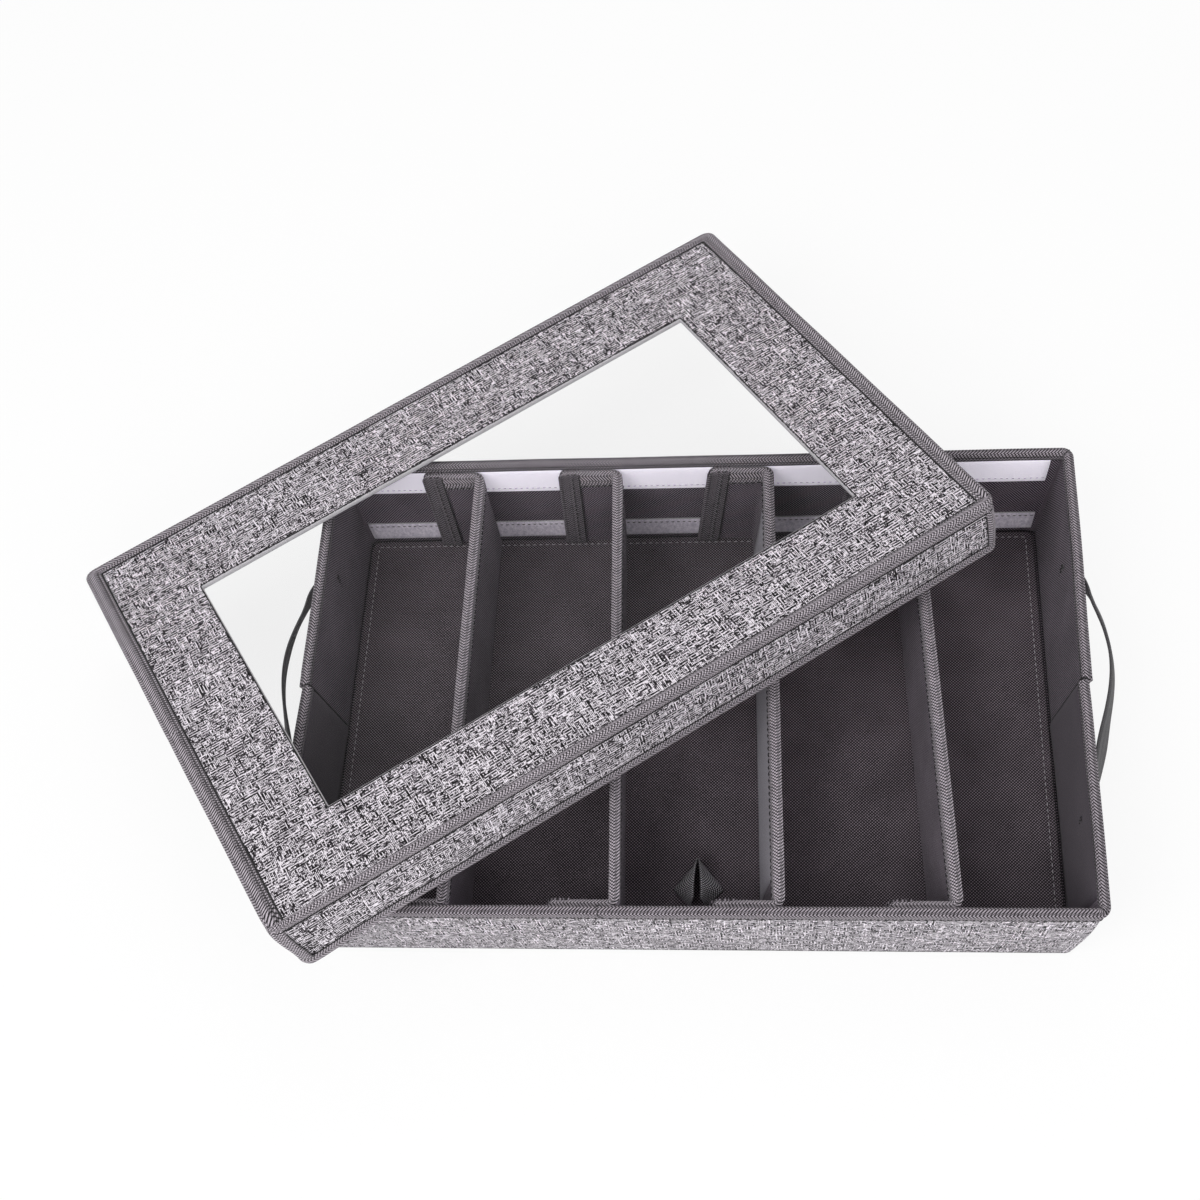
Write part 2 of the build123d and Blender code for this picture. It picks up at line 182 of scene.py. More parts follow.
class Threads:
    # stitches and cords, each one a thin closed tube
    sides = 6
    # share of a stitch's length, its width there and how far it stands up: sunk at both ends
    spindle = np.array([(0.0, 0.35, -0.7), (0.14, 0.8, 0.25), (0.5, 1.0, 1.0), (0.86, 0.8, 0.25), (1.0, 0.35, -0.7)])
    rise = 0.22

    def __init__(self, radius):
        self.radius = radius
        self.points, self.faces = [], []
        self.count = 0

    def tube(self, middles, side, lift, radii, closed=False):
        turn = np.arange(self.sides) * 2 * math.pi / self.sides
        spoke = side[:, None] * np.cos(turn)[None, :, None] + lift[:, None] * np.sin(turn)[None, :, None]
        self.points.append((middles[:, None] + radii[:, None, None] * spoke).reshape(-1, 3))
        number, first, sides = len(middles), self.count, self.sides
        for ring in range(number if closed else number - 1):
            one, two = first + ring * sides, first + (ring + 1) % number * sides
            for k in range(sides):
                after = (k + 1) % sides
                self.faces.append((one + k, one + after, two + after, two + k))
        self.count += number * sides
        if not closed:
            self.faces.append(tuple(range(first + sides - 1, first - 1, -1)))
            self.faces.append(tuple(range(self.count - sides, self.count)))

    def stitch(self, start, end, normal):
        length = np.linalg.norm(end - start)
        if length < 1e-6:
            return
        along = (end - start) / length
        side = np.cross(along, normal)
        side /= max(np.linalg.norm(side), 1e-9)
        lift = np.cross(side, along)
        share, wide, up = self.spindle.T[:, :, None]
        middles = start + along * length * share + lift * self.rise * up
        self.tube(middles, side[None], lift[None], self.radius * wide[:, 0])

    def row(self, path, normals, length=3.0, gap=1.1, closed=False):
        path = np.asarray(path, float)
        normals = np.broadcast_to(np.asarray(normals, float), path.shape)
        if closed:
            path, normals = np.concatenate([path, path[:1]]), np.concatenate([normals, normals[:1]])
        s = runLength(path)
        number = max(int(s[-1] / (length + gap)), 1)
        pitch = s[-1] / number
        starts = (np.arange(number) + 0.5) * pitch - length / 2
        place = lambda at, values: np.stack([np.interp(at, s, values[:, k]) for k in range(3)], 1)
        begin, finish, facing = place(starts, path), place(starts + length, path), place(starts + length / 2, normals)
        for one, two, up in zip(begin, finish, facing):
            self.stitch(one, two, up)

    def line(self, path, radius=None, closed=False):
        # one continuous cord along a path
        path = np.asarray(path, float)
        along = directions(path)
        if closed:
            along = np.roll(path, -1, 0) - np.roll(path, 1, 0)
            along /= np.maximum(np.linalg.norm(along, axis=1), 1e-9)[:, None]
        rough = upward if abs(along[:, 2]).max() < 0.9 else np.array([0.31, 0.95, 0.05])
        side = np.cross(along, rough)
        side /= np.maximum(np.linalg.norm(side, axis=1), 1e-9)[:, None]
        radii = np.full(len(path), self.radius if radius is None else radius)
        self.tube(path, side, np.cross(side, along), radii, closed)

    def build(self, name, look, turn=None):
        return addPiece(name, np.concatenate(self.points), self.faces, look, turn)


def settle(maker, name, look, body, slot, *nodes, turn=None):
    # builds a piece, lets it ride with a body and hides the plain solids that it stands for
    piece = maker.build(name, look, turn)
    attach(piece, body)
    if nodes:
        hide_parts(*nodes)
    return piece


def ringStations(along, across, bend, extra=()):
    # stops round a rounded rectangle: how far along each half side, and which way it faces
    # extra gives more stops on the short sides, so that a fold there stays sharp
    down = sorted(set(np.round(np.concatenate([np.linspace(-1, 1, across + 1)[1:-1], extra]), 6)))
    quarters = lambda first: (np.arange(bend) / bend + first) * math.pi / 2
    corner = lambda x, y, first: [(x, y, math.cos(turn), math.sin(turn)) for turn in quarters(first)]
    run = -1.0 + 2.0 * np.arange(along) / along
    rows = [(-1.0, y, -1.0, 0.0) for y in reversed(down) if y <= 0] + corner(-1.0, -1.0, 2)
    rows += [(x, -1.0, 0.0, -1.0) for x in run] + corner(1.0, -1.0, 3)
    rows += [(1.0, y, 1.0, 0.0) for y in [-1.0] + down] + corner(1.0, 1.0, 0)
    rows += [(-x, 1.0, 0.0, 1.0) for x in run] + corner(-1.0, 1.0, 1)
    rows += [(-1.0, y, -1.0, 0.0) for y in [1.0] + list(reversed(down)) if y > 0]
    return np.array(rows)


tubStations = ringStations(84, 56, 9, np.linspace(-0.09, 0.03, 31))
lidStations = ringStations(84, 56, 9)


def halfWidth(z):
    return tub["width"] / 2 - tub["flare"] * (1 - z / tub["height"])


def halfDepth(z):
    return tub["depth"] / 2 - tub["flare"] * (1 - z / tub["height"])


def roundedRing(stations, halfX, halfY, radius, z, middle=0.0):
    x = stations[:, 0] * (halfX - radius) + stations[:, 2] * radius
    y = middle + stations[:, 1] * (halfY - radius) + stations[:, 3] * radius
    return column(x, y, z)


def tubRing(inset, z):
    radius = max(tub["corner"] - inset, 1.0)
    return roundedRing(tubStations, halfWidth(z) - inset, halfDepth(z) - inset, radius, z)


def lidRing(inset, w):
    radius = max(lid["corner"] - inset, 0.8)
    return roundedRing(lidStations, lid["length"] / 2 - inset, lid["depth"] / 2 - inset, radius, w)


def sweep(ring, profile):
    # one ring of points for each (inset, height) of the profile
    return np.stack([ring(inset, height) for inset, height in profile], 1)


def atInset(inset, levels):
    return [(inset, level) for level in levels]


def ringLengths(ring, profile):
    outline = ring(0.0, 40.0)
    s = runLength(np.concatenate([outline, outline[:1]]))
    return spread(s, runLength(np.array(profile, float)))


def pushOut(grid, stations, amount):
    grid = np.array(grid, float)
    grid[:, :, 0] += stations[:, None, 2] * amount
    grid[:, :, 1] += stations[:, None, 3] * amount
    return grid


def ringSheet(ring, outside, inside, push=0.0, pushInside=None):
    # a band of cloth right round the tub or the lid, between two profiles
    stations = tubStations if ring is tubRing else lidStations
    sheet = ClothMesh()
    outer = pushOut(sweep(ring, outside), stations, push)
    inner = pushOut(sweep(ring, inside), stations, push if pushInside is None else pushInside)
    sheet.slab(outer, inner, ringLengths(ring, outside), closed=True)
    return sheet


tubShape = dict(rightBulge=4.6, foldStep=1.9, foldReach=42.0, foldGroove=0.35, foldDrop=1.3, foldLean=8.0)


def softTub(points):
    # the right end wall stands out a little, and both end walls are creased where they fold
    g = tubShape
    p = np.array(points, float)
    x, y, z = p.T.copy()
    up = np.clip(z / tub["height"], 0, 1.1)
    p[:, 0] += g["rightBulge"] * smooth(x, 110, 207) * up * (0.2 + 0.8 * smooth(y, -150, 140))
    past = y + g["foldLean"] * up
    gate = smooth(np.abs(x), 186, 203) * smooth(z, 2, 16)
    step = smooth(-past, 0.0, 1.3) * np.exp(-np.clip(-past, 0, None) / g["foldReach"])
    groove = np.exp(-(((past - 0.2) / 0.8) ** 2))
    p[:, 0] -= np.sign(x) * gate * (g["foldStep"] * step - g["foldGroove"] * groove)
    p[:, 2] -= g["foldDrop"] * gate * groove * smooth(z, 62, 73)
    return p


class Wire:
    # one value in a material's nodes, with plain arithmetic
    def __init__(self, shader, socket):
        self.shader, self.socket = shader, socket

    def __add__(self, other):
        return self.shader.math("ADD", self, other)

    def __sub__(self, other):
        return self.shader.math("SUBTRACT", self, other)

    def __rsub__(self, other):
        return self.shader.math("SUBTRACT", other, self)

    def __mul__(self, other):
        return self.shader.math("MULTIPLY", self, other)

    def __truediv__(self, other):
        return self.shader.math("DIVIDE", self, other)


class Shader:
    def __init__(self, name):
        self.material = bpy.data.materials.new(name)
        self.material.use_nodes = True
        self.nodes = self.material.node_tree.nodes
        self.links = self.material.node_tree.links
        self.surface = self.nodes["Principled BSDF"]

    def put(self, socket, value):
        if isinstance(value, Wire):
            self.links.new(value.socket, socket)
        elif isinstance(value, tuple) and len(value) < len(socket.default_value):
            socket.default_value = (*value, 1.0)
        else:
            socket.default_value = value

    def node(self, kind, values=(), output=0, **settings):
        # values go to the inputs in turn, or by name
        node = self.nodes.new("ShaderNode" + kind)
        for name, setting in settings.items():
            setattr(node, name, setting)
        for key, value in values.items() if isinstance(values, dict) else enumerate(values):
            self.put(node.inputs[key], value)
        return Wire(self, node.outputs[output])

    def math(self, kind, a, b=0.0):
        return self.node("Math", (a, b, 0.0), operation=kind)

    def floor(self, value):
        return self.math("FLOOR", value)

    def hump(self, value):
        # rises and falls once for every whole number
        return self.math("ABSOLUTE", self.math("SINE", value * math.pi))

    def parity(self, value):
        return self.math("MODULO", value + 4000.0, 2.0)

    def vector(self, x, y, z=0.0):
        return self.node("CombineXYZ", (x, y, z))

    def noise(self, vector, scale=1.0, detail=2.0, rough=0.5):
        return self.node("TexNoise", {"Vector": vector, "Scale": scale, "Detail": detail, "Roughness": rough}, "Fac")

    def remap(self, value, low, high, toLow=0.0, toHigh=1.0):
        return self.node("MapRange", (value, low, high, toLow, toHigh))

    def mix(self, share, first, second):
        return self.node("Mix", {0: share, 6: first, 7: second}, 2, data_type="RGBA")

    def lengths(self):
        # distances along and across the cloth, in millimetres
        split = self.nodes.new("ShaderNodeSeparateXYZ")
        self.put(split.inputs[0], self.node("UVMap", uv_map="clothLengths"))
        return Wire(self, split.outputs[0]), Wire(self, split.outputs[1])

    def place(self, scale=1000.0):
        spot = self.node("TexCoord", output="Object")
        return self.node("VectorMath", {0: spot, "Scale": scale}, operation="SCALE")

    def bump(self, height, distance):
        values = {"Strength": 1.0, "Distance": distance * millimetre, "Height": height}
        self.put(self.surface.inputs["Normal"], self.node("Bump", values))

    def finish(self, colour, rough=0.9, sheen=0.0, specular=0.3):
        values = {
            "Base Color": colour, "Roughness": rough, "Specular IOR Level": specular, "Sheen Weight": sheen,
            "Sheen Roughness": 0.5,
        }
        for name, value in values.items():
            self.put(self.surface.inputs[name], value)
        return self.material


linen = dict(
    pitch=0.84, run=0.085, black=(0.004, 0.003, 0.004), middle=(0.200, 0.175, 0.203), white=(0.98, 0.92, 0.99),
    wander=2.0, jitter=0.12, relief=0.15,
)


def makeLinen():
    # uneven threads both ways, with dark gaps that open and close along them; the gaps are painted shade between the
    # threads
    g, s = linen, Shader("woven linen cloth")
    u, v = s.lengths()
    slow, quick = (s.noise(s.vector(u, v, seed), fineness, 1.0) for seed, fineness in ((3.0, 0.013), (8.0, 0.06)))
    shift = (slow - 0.5) * (g["wander"] * 2) + (quick - 0.5) * g["jitter"]
    across, along = (v + shift) / g["pitch"], (u + shift) / g["pitch"]
    threads = []
    for run, number, seed in ((u, across, 0.0), (v, along, 20.0)):
        far = run * g["run"]
        thread, between = s.floor(number), s.floor(number + 0.5)
        body = s.noise(s.vector(far, thread * 7.31, seed + 1.0), 1.0, 1.0)
        shade = s.noise(s.vector(far * 3.4, thread * 3.17, seed + 5.0), 1.0, 2.0, 0.6)
        shade = shade + (s.parity(thread) - 0.5) * 0.12
        opening = s.noise(s.vector(far * 1.1, between * 5.13, seed + 9.0), 1.0, 2.0, 0.6)
        crown = s.hump(number)
        # painted shade: where two threads part, the gap between them turns black
        gap = s.remap(crown, 0.97, 0.55) * s.remap(opening, 0.42, 0.50, 0.2, 1.0)
        tone = s.mix(s.remap(shade, 0.46, 0.51), g["middle"], g["white"])
        tone = s.mix(s.remap(shade, 0.445, 0.395), tone, g["black"])
        threads.append((body, s.mix(gap, tone, g["black"]), crown))
    (body, tone, crown), (otherBody, otherTone, otherCrown) = threads
    patch = s.noise(s.vector(u, v, 6.0), 0.14, 2.0)
    lead = (body - otherBody) * 1.2 + (s.parity(s.floor(across) + s.floor(along)) - 0.45) * 0.16
    over = s.math("GREATER_THAN", lead + (patch - 0.47) * 0.9)
    s.bump((crown * over + otherCrown * (1.0 - over)) * 0.7 + body * 0.5, g["relief"])
    return s.finish(s.mix(over, otherTone, tone), 0.88, 0.08, 0.25)


# herringbone tape: its darkest and palest thread on the lid and dividers, on the rim (a darker copy, painted shade) and
# in the shade
tapeWeave = dict(rib=1.8, turn=3.4, start=0.35, slant=0.75, dotSlant=1.25, relief=0.16)
tapes = dict(
    tape=("woven edge tape", (0.012, 0.0105, 0.012), (0.57, 0.515, 0.57)),
    rimTape=("woven edge tape, rim", (0.010, 0.0085, 0.010), (0.43, 0.385, 0.43)),
    shadeTape=("woven edge tape, shaded", (0.010, 0.0085, 0.010), (0.24, 0.21, 0.24)),
)


def makeTape(name, dark, pale):
    g, s = tapeWeave, Shader(name)
    u, v = s.lengths()
    fold = s.math("PINGPONG", v + g["start"], g["turn"])
    twill = s.hump((u + fold * g["slant"]) / g["rib"])
    dots = s.hump((v * g["dotSlant"] - u) / g["rib"])
    patch = s.noise(s.vector(u, v), 0.22, 3.0, 0.6)
    speck = s.noise(s.vector(u, v, 4.0), 2.4, 1.0)
    value = twill * dots + twill * 0.25 + (speck - 0.5) * 0.5 + (patch - 0.5) * 0.45
    s.bump(twill * 0.6 + dots * 0.4, g["relief"])
    return s.finish(s.mix(s.remap(value, 0.28, 1.10), dark, pale), 0.88, 0.08, 0.25)


linings = dict(
    lining=("embossed lining cloth", 1.75, (0.0095, 0.0070, 0.0098), (0.42, 0.345, 0.425), 0.18),
    floorLining=("embossed floor cloth", 1.8, (0.010, 0.008, 0.0098), (0.36, 0.30, 0.345), 0.18),
    smoothLining=("smooth lining cloth", 1.2, (0.045, 0.037, 0.046), (0.180, 0.150, 0.185), 0.08),
    paleLining=("pale lining cloth", 1.2, (0.23, 0.215, 0.245), (0.52, 0.50, 0.555), 0.08),
    ribbon=("embossed ribbon", 2.0, (0.006, 0.005, 0.006), (0.95, 0.92, 0.97), 0.16),
)


def makeLining(name, rib, dark, pale, relief):
    # pressed all over with a fine slanting net
    s = Shader(name)
    u, v = s.lengths()
    net = s.hump((u + v) / rib) * s.hump((u - v) / rib)
    grain, patch = s.noise(s.vector(u, v), 1.6, 3.0, 0.7), s.noise(s.vector(u, v), 0.03, 2.0)
    value = net + (grain - 0.5) * 0.3 + (patch - 0.5) * 0.3
    s.bump(net + grain * 0.5, relief)
    return s.finish(s.mix(s.remap(value, 0.36, 0.98), dark, pale), 0.86, 0.08, 0.25)


# looped and hooked tapes; the pile tapes glow a little, painted light, and the lower one is a darker copy, painted
# shade
fuzzes = dict(
    pile=("looped pile tape", (0.82, 0.76, 0.92), (1.0, 0.96, 1.0), 0.27),
    dimPile=("looped pile tape, lower", (0.44, 0.39, 0.50), (0.98, 0.91, 1.0), 0.02),
    hooks=("hooked tape", (0.10, 0.095, 0.11), (0.30, 0.285, 0.32), 0.0),
)


def makeFuzz(name, dark, pale, paintedGlow):
    s = Shader(name)
    u, v = s.lengths()
    pile = s.noise(s.vector(u, v), 0.9, 4.0, 0.75)
    tuft = s.noise(s.vector(u * 1.6, v, 4.0), 0.28, 2.0)
    s.bump(pile, 0.5)
    # painted light: the pile glows a little, though it is no lamp
    s.put(s.surface.inputs["Emission Color"], (0.92, 0.88, 1.0, 1.0))
    s.put(s.surface.inputs["Emission Strength"], paintedGlow)
    return s.finish(s.mix(s.remap(pile * 0.7 + tuft * 0.5, 0.4, 0.8), dark, pale), 0.97, 0.3, 0.1)


webbing = dict(rib=1.1, cord=1.76, dark=(0.030, 0.029, 0.031), pale=(0.105, 0.10, 0.108), relief=0.18)


def makeWebbing():
    g, s = webbing, Shader("strap webbing")
    u, v = s.lengths()
    weave = s.hump(u / g["rib"]) * s.hump(v / g["cord"])
    value = weave * 0.9 + s.noise(s.vector(u, v), 0.35, 3.0) * 0.4
    s.bump(weave, g["relief"])
    return s.finish(s.mix(s.remap(value, 0.1, 1.1), g["dark"], g["pale"]), 0.85, 0.15, 0.3)


threadColours = dict(
    darkThread=("dark thread", (0.006, 0.006, 0.007), (0.03, 0.028, 0.03)),
    paleThread=("pale thread", (0.30, 0.28, 0.30), (0.55, 0.53, 0.56)),
    whiteThread=("white thread", (0.80, 0.76, 0.84), (0.98, 0.95, 1.0)),
    edging=("pale edging", (0.40, 0.385, 0.41), (0.66, 0.64, 0.67)),
)


def makeThread(name, dark, pale):
    s = Shader(name)
    twist = s.noise(s.place(), 2.2, 2.0)
    s.bump(twist, 0.05)
    return s.finish(s.mix(s.remap(twist, 0.3, 0.7), dark, pale), 0.8, 0.1, 0.3)


def makeBoard():
    s = Shader("grey board")
    value = s.noise(s.place(), 0.5, 5.0, 0.65) * 0.6 + s.noise(s.place(), 3.0, 2.0) * 0.4
    s.bump(value, 0.08)
    return s.finish(s.mix(s.remap(value, 0.3, 0.7), (0.22, 0.19, 0.15), (0.36, 0.32, 0.26)), 0.92, 0.0, 0.2)


clearSheet = dict(
    tint=(0.16, 0.165, 0.17), dust=(0.3, 0.3, 0.3), scuffed=0.16, clear=0.05, ripple=0.35, alpha=0.02, bend=1.45,
)


def makeClear():
    g, s = clearSheet, Shader("clear sheet")
    scuff = s.noise(s.place(), 0.12, 5.0, 0.7)
    s.bump(s.noise(s.place(), 0.018, 2.0) + scuff * 0.02, g["ripple"])
    s.put(s.surface.inputs["Alpha"], g["alpha"])
    s.put(s.surface.inputs["IOR"], g["bend"])
    return s.finish(s.mix(scuff, g["tint"], g["dust"]), s.remap(scuff, 0.45, 0.75, g["clear"], g["scuffed"]), 0.0, 0.5)


looks = dict(linen=makeLinen(), webbing=makeWebbing(), board=makeBoard(), clear=makeClear())
for maker, kinds in ((makeTape, tapes), (makeLining, linings), (makeFuzz, fuzzes), (makeThread, threadColours)):
    looks.update({name: maker(*values) for name, values in kinds.items()})
print("materials made")

# the outer cover, a little swollen
coverLook = dict(puff=0.9, unevenness=0.35, face=0.7, back=1.4, low=0.7, high=73.3, swollenTo=66.0, rows=30)
heights = np.linspace(coverLook["low"], coverLook["high"], coverLook["rows"])
around = runLength(tubRing(coverLook["face"], heights[15]))[:, None]
swell = np.sin(np.pi * np.clip(heights / coverLook["swollenTo"], 0, 1))[None]
push = (coverLook["puff"] + coverLook["unevenness"] * wave(around, heights[None], 2.0)) * swell
cover = ringSheet(tubRing, atInset(coverLook["face"], heights), atInset(coverLook["back"], heights), push)
settle(cover, "tub_cover_cloth", "linen", "base", "woven_linen_cloth", "outer_cover", turn=softTub)

# the lining's four walls, and the cloth under the loose board
liningLook = dict(unevenness=0.5, back=3.4, face=4.1, low=2.8, high=73.2, floor=0.55, rows=24)
depths = np.linspace(liningLook["low"], liningLook["high"], liningLook["rows"])
spot = sweep(tubRing, atInset(liningLook["face"], depths))
ripple = liningLook["unevenness"] * wave(spot[:, :, 1], spot[:, :, 2], 5.0) * np.sin(np.pi * depths / 76)[None]
ripple *= np.abs(tubStations[:, 2])[:, None] > 0.9
profiles = atInset(liningLook["back"], depths), atInset(liningLook["face"], depths)
lining = ringSheet(tubRing, *profiles, pushInside=-np.abs(ripple))
low = tubRing(liningLook["back"] + 0.1, liningLook["low"])
rings = np.stack([low * np.array([shrink, shrink, 1.0]) for shrink in 1 - 0.95 * np.linspace(0, 1, 7)], 1)
lining.slab(rings + upward * liningLook["floor"], rings, planLengths(rings), closed=True)
settle(lining, "tub_lining_cloth", "lining", "base", "dark_lining_cloth", "tub_lining", turn=softTub)

boardLook = dict(outer=1.45, inner=3.35, low=0.75, high=71.4, rows=16, apart=1.2)


def wallBoard(name, node, line):
    # one stiff board in a wall; line gives its run of points at an inset and a height
    levels = np.linspace(boardLook["low"], boardLook["high"], boardLook["rows"])
    outer, inner = (np.stack([line(boardLook[face], z) for z in levels], 1) for face in ("outer", "inner"))
    board = ClothMesh()
    board.slab(outer, inner, spread(runLength(outer[:, 0]), levels))
    settle(board, name, "board", "base", "stiffener_board", node, turn=softTub)


for wallName, side in (("front", -1), ("back", 1)):
    wallBoard(f"{wallName}_wall_stiffener", f"{wallName}_wall_board", lambda inset, z: column(
        np.linspace(-1, 1, 60) * (halfWidth(z) - tub["corner"]), side * (halfDepth(z) - inset), z,
    ))
for sideName, side in (("left", -1), ("right", 1)):
    for partName, part in (("front", -1), ("back", 1)):
        wallBoard(f"{sideName}_{partName}_stiffener", f"{sideName}_end_board_{partName}", lambda inset, z: column(
            side * (halfWidth(z) - inset), part * np.linspace(boardLook["apart"], halfDepth(z) - tub["corner"], 30), z,
        ))

# tape folded over the rim, rolled at its top
rimLook = dict(
    unevenness=0.22, stitches=(-0.12, 66.4), seam=(5.1, 72.1), seamRadius=0.26,
    outside=[
        (0.0, 64.4), (-0.12, 66.0), (-0.05, 67.6), (-0.1, 69.0), (-0.35, 70.6), (-0.55, 71.8), (-0.4, 72.9),
        (0.15, 73.7), (1.1, 74.12), (2.4, 74.22), (3.8, 74.12), (4.7, 73.6), (5.1, 72.7), (5.1, 71.6), (4.95, 70.4),
        (4.85, 69.0),
    ],
    inside=[
        (0.7, 64.4), (0.66, 66.0), (0.66, 67.6), (0.64, 69.0), (0.5, 70.6), (0.4, 71.8), (0.5, 72.6), (0.9, 73.1),
        (1.5, 73.42), (2.4, 73.5), (3.3, 73.42), (3.95, 73.1), (4.2, 72.4), (4.2, 71.4), (4.15, 70.4), (4.15, 69.0),
    ],
)
push = rimLook["unevenness"] * wave(around, np.array(rimLook["outside"])[None, :, 1], 8.0)
rim = ringSheet(tubRing, rimLook["outside"], rimLook["inside"], push)
# the rim takes the darker copy of the edge tape: painted shade
settle(rim, "rim_tape", "rimTape", "base", "edge_tape", "rim_binding", turn=softTub)
stitches = Threads(0.24)
facing = column(tubStations[:, 2], tubStations[:, 3], 0.0)
stitches.row(tubRing(*rimLook["stitches"]), facing, 2.6, 1.3, closed=True)
stitches.line(tubRing(*rimLook["seam"]), rimLook["seamRadius"], closed=True)
settle(stitches, "rim_tape_stitches", "darkThread", "base", "edge_tape", turn=softTub)

# the end walls' front halves fold in over the back ones: an edge with a dark line behind it, painted shade in the fold
foldLook = dict(
    standing=1.15, top=69.3, low=7.2, seam=0.62, rimSeam=0.34, rimSeamY=-8.6, jointX=-41.4, joint=0.26, mitre=0.2,
    overRim=[(0.75, 73.9), (1.4, 74.25), (2.4, 74.36), (3.9, 74.25), (5.0, 73.4), (5.3, 71.6), (5.2, 69.6)],
    overJoint=[
        (-0.1, 65.0), (-0.2, 68.0), (-0.6, 71.5), (-0.2, 73.7), (1.1, 74.3), (2.4, 74.4), (3.9, 74.3), (5.0, 73.4),
        (5.3, 71.6), (5.1, 69.6),
    ],
)


def makeFold(sideName, side):
    levels = np.linspace(foldLook["low"], foldLook["top"], 22)
    t = np.concatenate([[0.0, 0.004, 0.012, 0.03], np.linspace(0.07, 1.0, 22)])
    outer, inner, crease = [], [], []
    for z in levels:
        wall = halfWidth(z)
        start = 1.0 - tubShape["foldLean"] * z / tub["height"]
        y = start + (12.0 - halfDepth(z) - start) * t
        past = start - y
        lift = smooth(past, -0.01, 1.0) * (0.4 + 0.6 * np.exp(-past / 30)) * (1 - smooth(t, 0.75, 1.0))
        lift = (0.08 + foldLook["standing"] * lift) * (1 - 0.45 * smooth(z, 63, 69))
        outer.append(column(side * (wall - 4.16 - lift), y, z))
        inner.append(column(side * (wall - 4.12), y, z))
        crease.append((side * (wall - 4.4), start + 0.4, z))
    outer, inner = np.stack(outer, 1), np.stack(inner, 1)
    sheet, seam = ClothMesh(), Threads(foldLook["seam"])
    sheet.slab(outer, inner, spread(runLength(outer[:, 10]), levels))
    settle(sheet, f"{sideName}_end_fold", "smoothLining", "base", "dark_lining_cloth", turn=softTub)
    # painted shade: a dark cord down the crease stands for the shadow behind the fold's edge
    seam.line(crease)
    inset, z = np.array(foldLook["overRim"]).T
    seam.line(column(side * (halfWidth(z) - inset), foldLook["rimSeamY"] + 0.3 * inset, z), foldLook["rimSeam"])
    settle(seam, f"{sideName}_end_fold_shadow_line", "darkThread", "base", "edge_tape", turn=softTub)


makeFold("left", -1)
makeFold("right", 1)

# where the rim's tape ends meet, and its mitred corners
joints = Threads(foldLook["joint"])
inset, z = np.array(foldLook["overJoint"]).T
slant = 0.7 * np.sin(inset * 1.3) + 0.4 * (tub["height"] - z)
joints.line(column(foldLook["jointX"] + slant, inset - halfDepth(z), z))
inset = np.linspace(1.9, 5.5, 8)
z = 74.4 - 0.9 * smooth(inset, 4.2, 5.6) - 0.5 * smooth(inset, 2.6, 1.8)
for x, y in ((-1, -1), (1, -1), (1, 1), (-1, 1)):
    joints.line(column(x * (tub["width"] / 2 - inset), y * (tub["depth"] / 2 - inset), z), foldLook["mitre"])
settle(joints, "rim_tape_joints", "darkThread", "base", "edge_tape", turn=softTub)
print("tub made")

# pile tapes sewn along the long walls: heights, look, thread looks, and which columns are free and sewn
pileLook = dict(
    upper=(51.0, 68.7, "pile", "whiteThread", "paleThread", 0, 2),
    # the lower tape takes the darker copy of the pile: painted shade
    lower=(7.4, 22.0, "dimPile", "paleThread", "darkThread", 12, 10),
    thick=0.45, nap=0.5, sunk=0.28, selvedge=0.42, stitch=0.24,
)


def pileTape(level, wallName, side):
    g = pileLook
    low, high, look, selvedgeLook, stitchLook, free, sewn = g[level]
    name = f"{level}_pile_tape_{wallName}"
    across = np.linspace(0, 1, 13)
    levels = low + (high - low) * across
    edge = np.minimum(across, 1 - across) * (high - low)
    thick = g["thick"] + g["nap"] * smooth(edge, 0, 1.6) - g["sunk"] * np.exp(-(((edge - 1.9) / 0.5) ** 2))
    outer, inner = [], []
    for z, t in zip(levels, thick):
        x = np.linspace(-1, 1, 90) * (halfWidth(z) - tub["corner"] - 1.0)
        outer.append(column(x, side * (halfDepth(z) - 4.1 - t), z))
        inner.append(column(x, side * (halfDepth(z) - 4.12), z))
    outer, inner = np.stack(outer, 1), np.stack(inner, 1)
    tape, selvedge, stitches = ClothMesh(), Threads(g["selvedge"]), Threads(g["stitch"])
    tape.slab(outer, inner, spread(runLength(outer[:, 0]), levels))
    settle(tape, name, look, "base", "loop_tape", f"{level}_loop_tape_{wallName}")
    # a selvedge along its free edge, and stitches beside it
    selvedge.line(outer[:, free])
    stitches.row(outer[:, sewn], (0.0, -side, 0.0), 2.0, 1.4)
    settle(selvedge, name + "_selvedge", selvedgeLook, "base", "loop_tape")
    settle(stitches, name + "_stitches", stitchLook, "base", "loop_tape")


for wallName, side in (("front", -1), ("back", 1)):
    for level in ("upper", "lower"):
        pileTape(level, wallName, side)

# loose floor board in its sewn sleeve
floorLook = dict(
    unevenness=0.25, hem=4.6, hemTop=6.08, underside=3.45, wallHeight=3.4, gap=5.3, corner=5.0, top=6.38,
    edge=[
        (0.9, 3.45), (0.25, 3.7), (0.0, 4.4), (0.1, 5.2), (0.5, 5.9), (1.4, 6.2), (2.8, 6.28), (4.2, 6.05), (4.9, 6.05),
        (6.0, 6.33), (9.0, 6.38),
    ],
)


def floorRing(inset, z):
    low, reach = floorLook["wallHeight"], floorLook["gap"] + inset
    radius = max(floorLook["corner"] - inset, 1.0)
    return roundedRing(tubStations, halfWidth(low) - reach, halfDepth(low) - reach, radius, z)


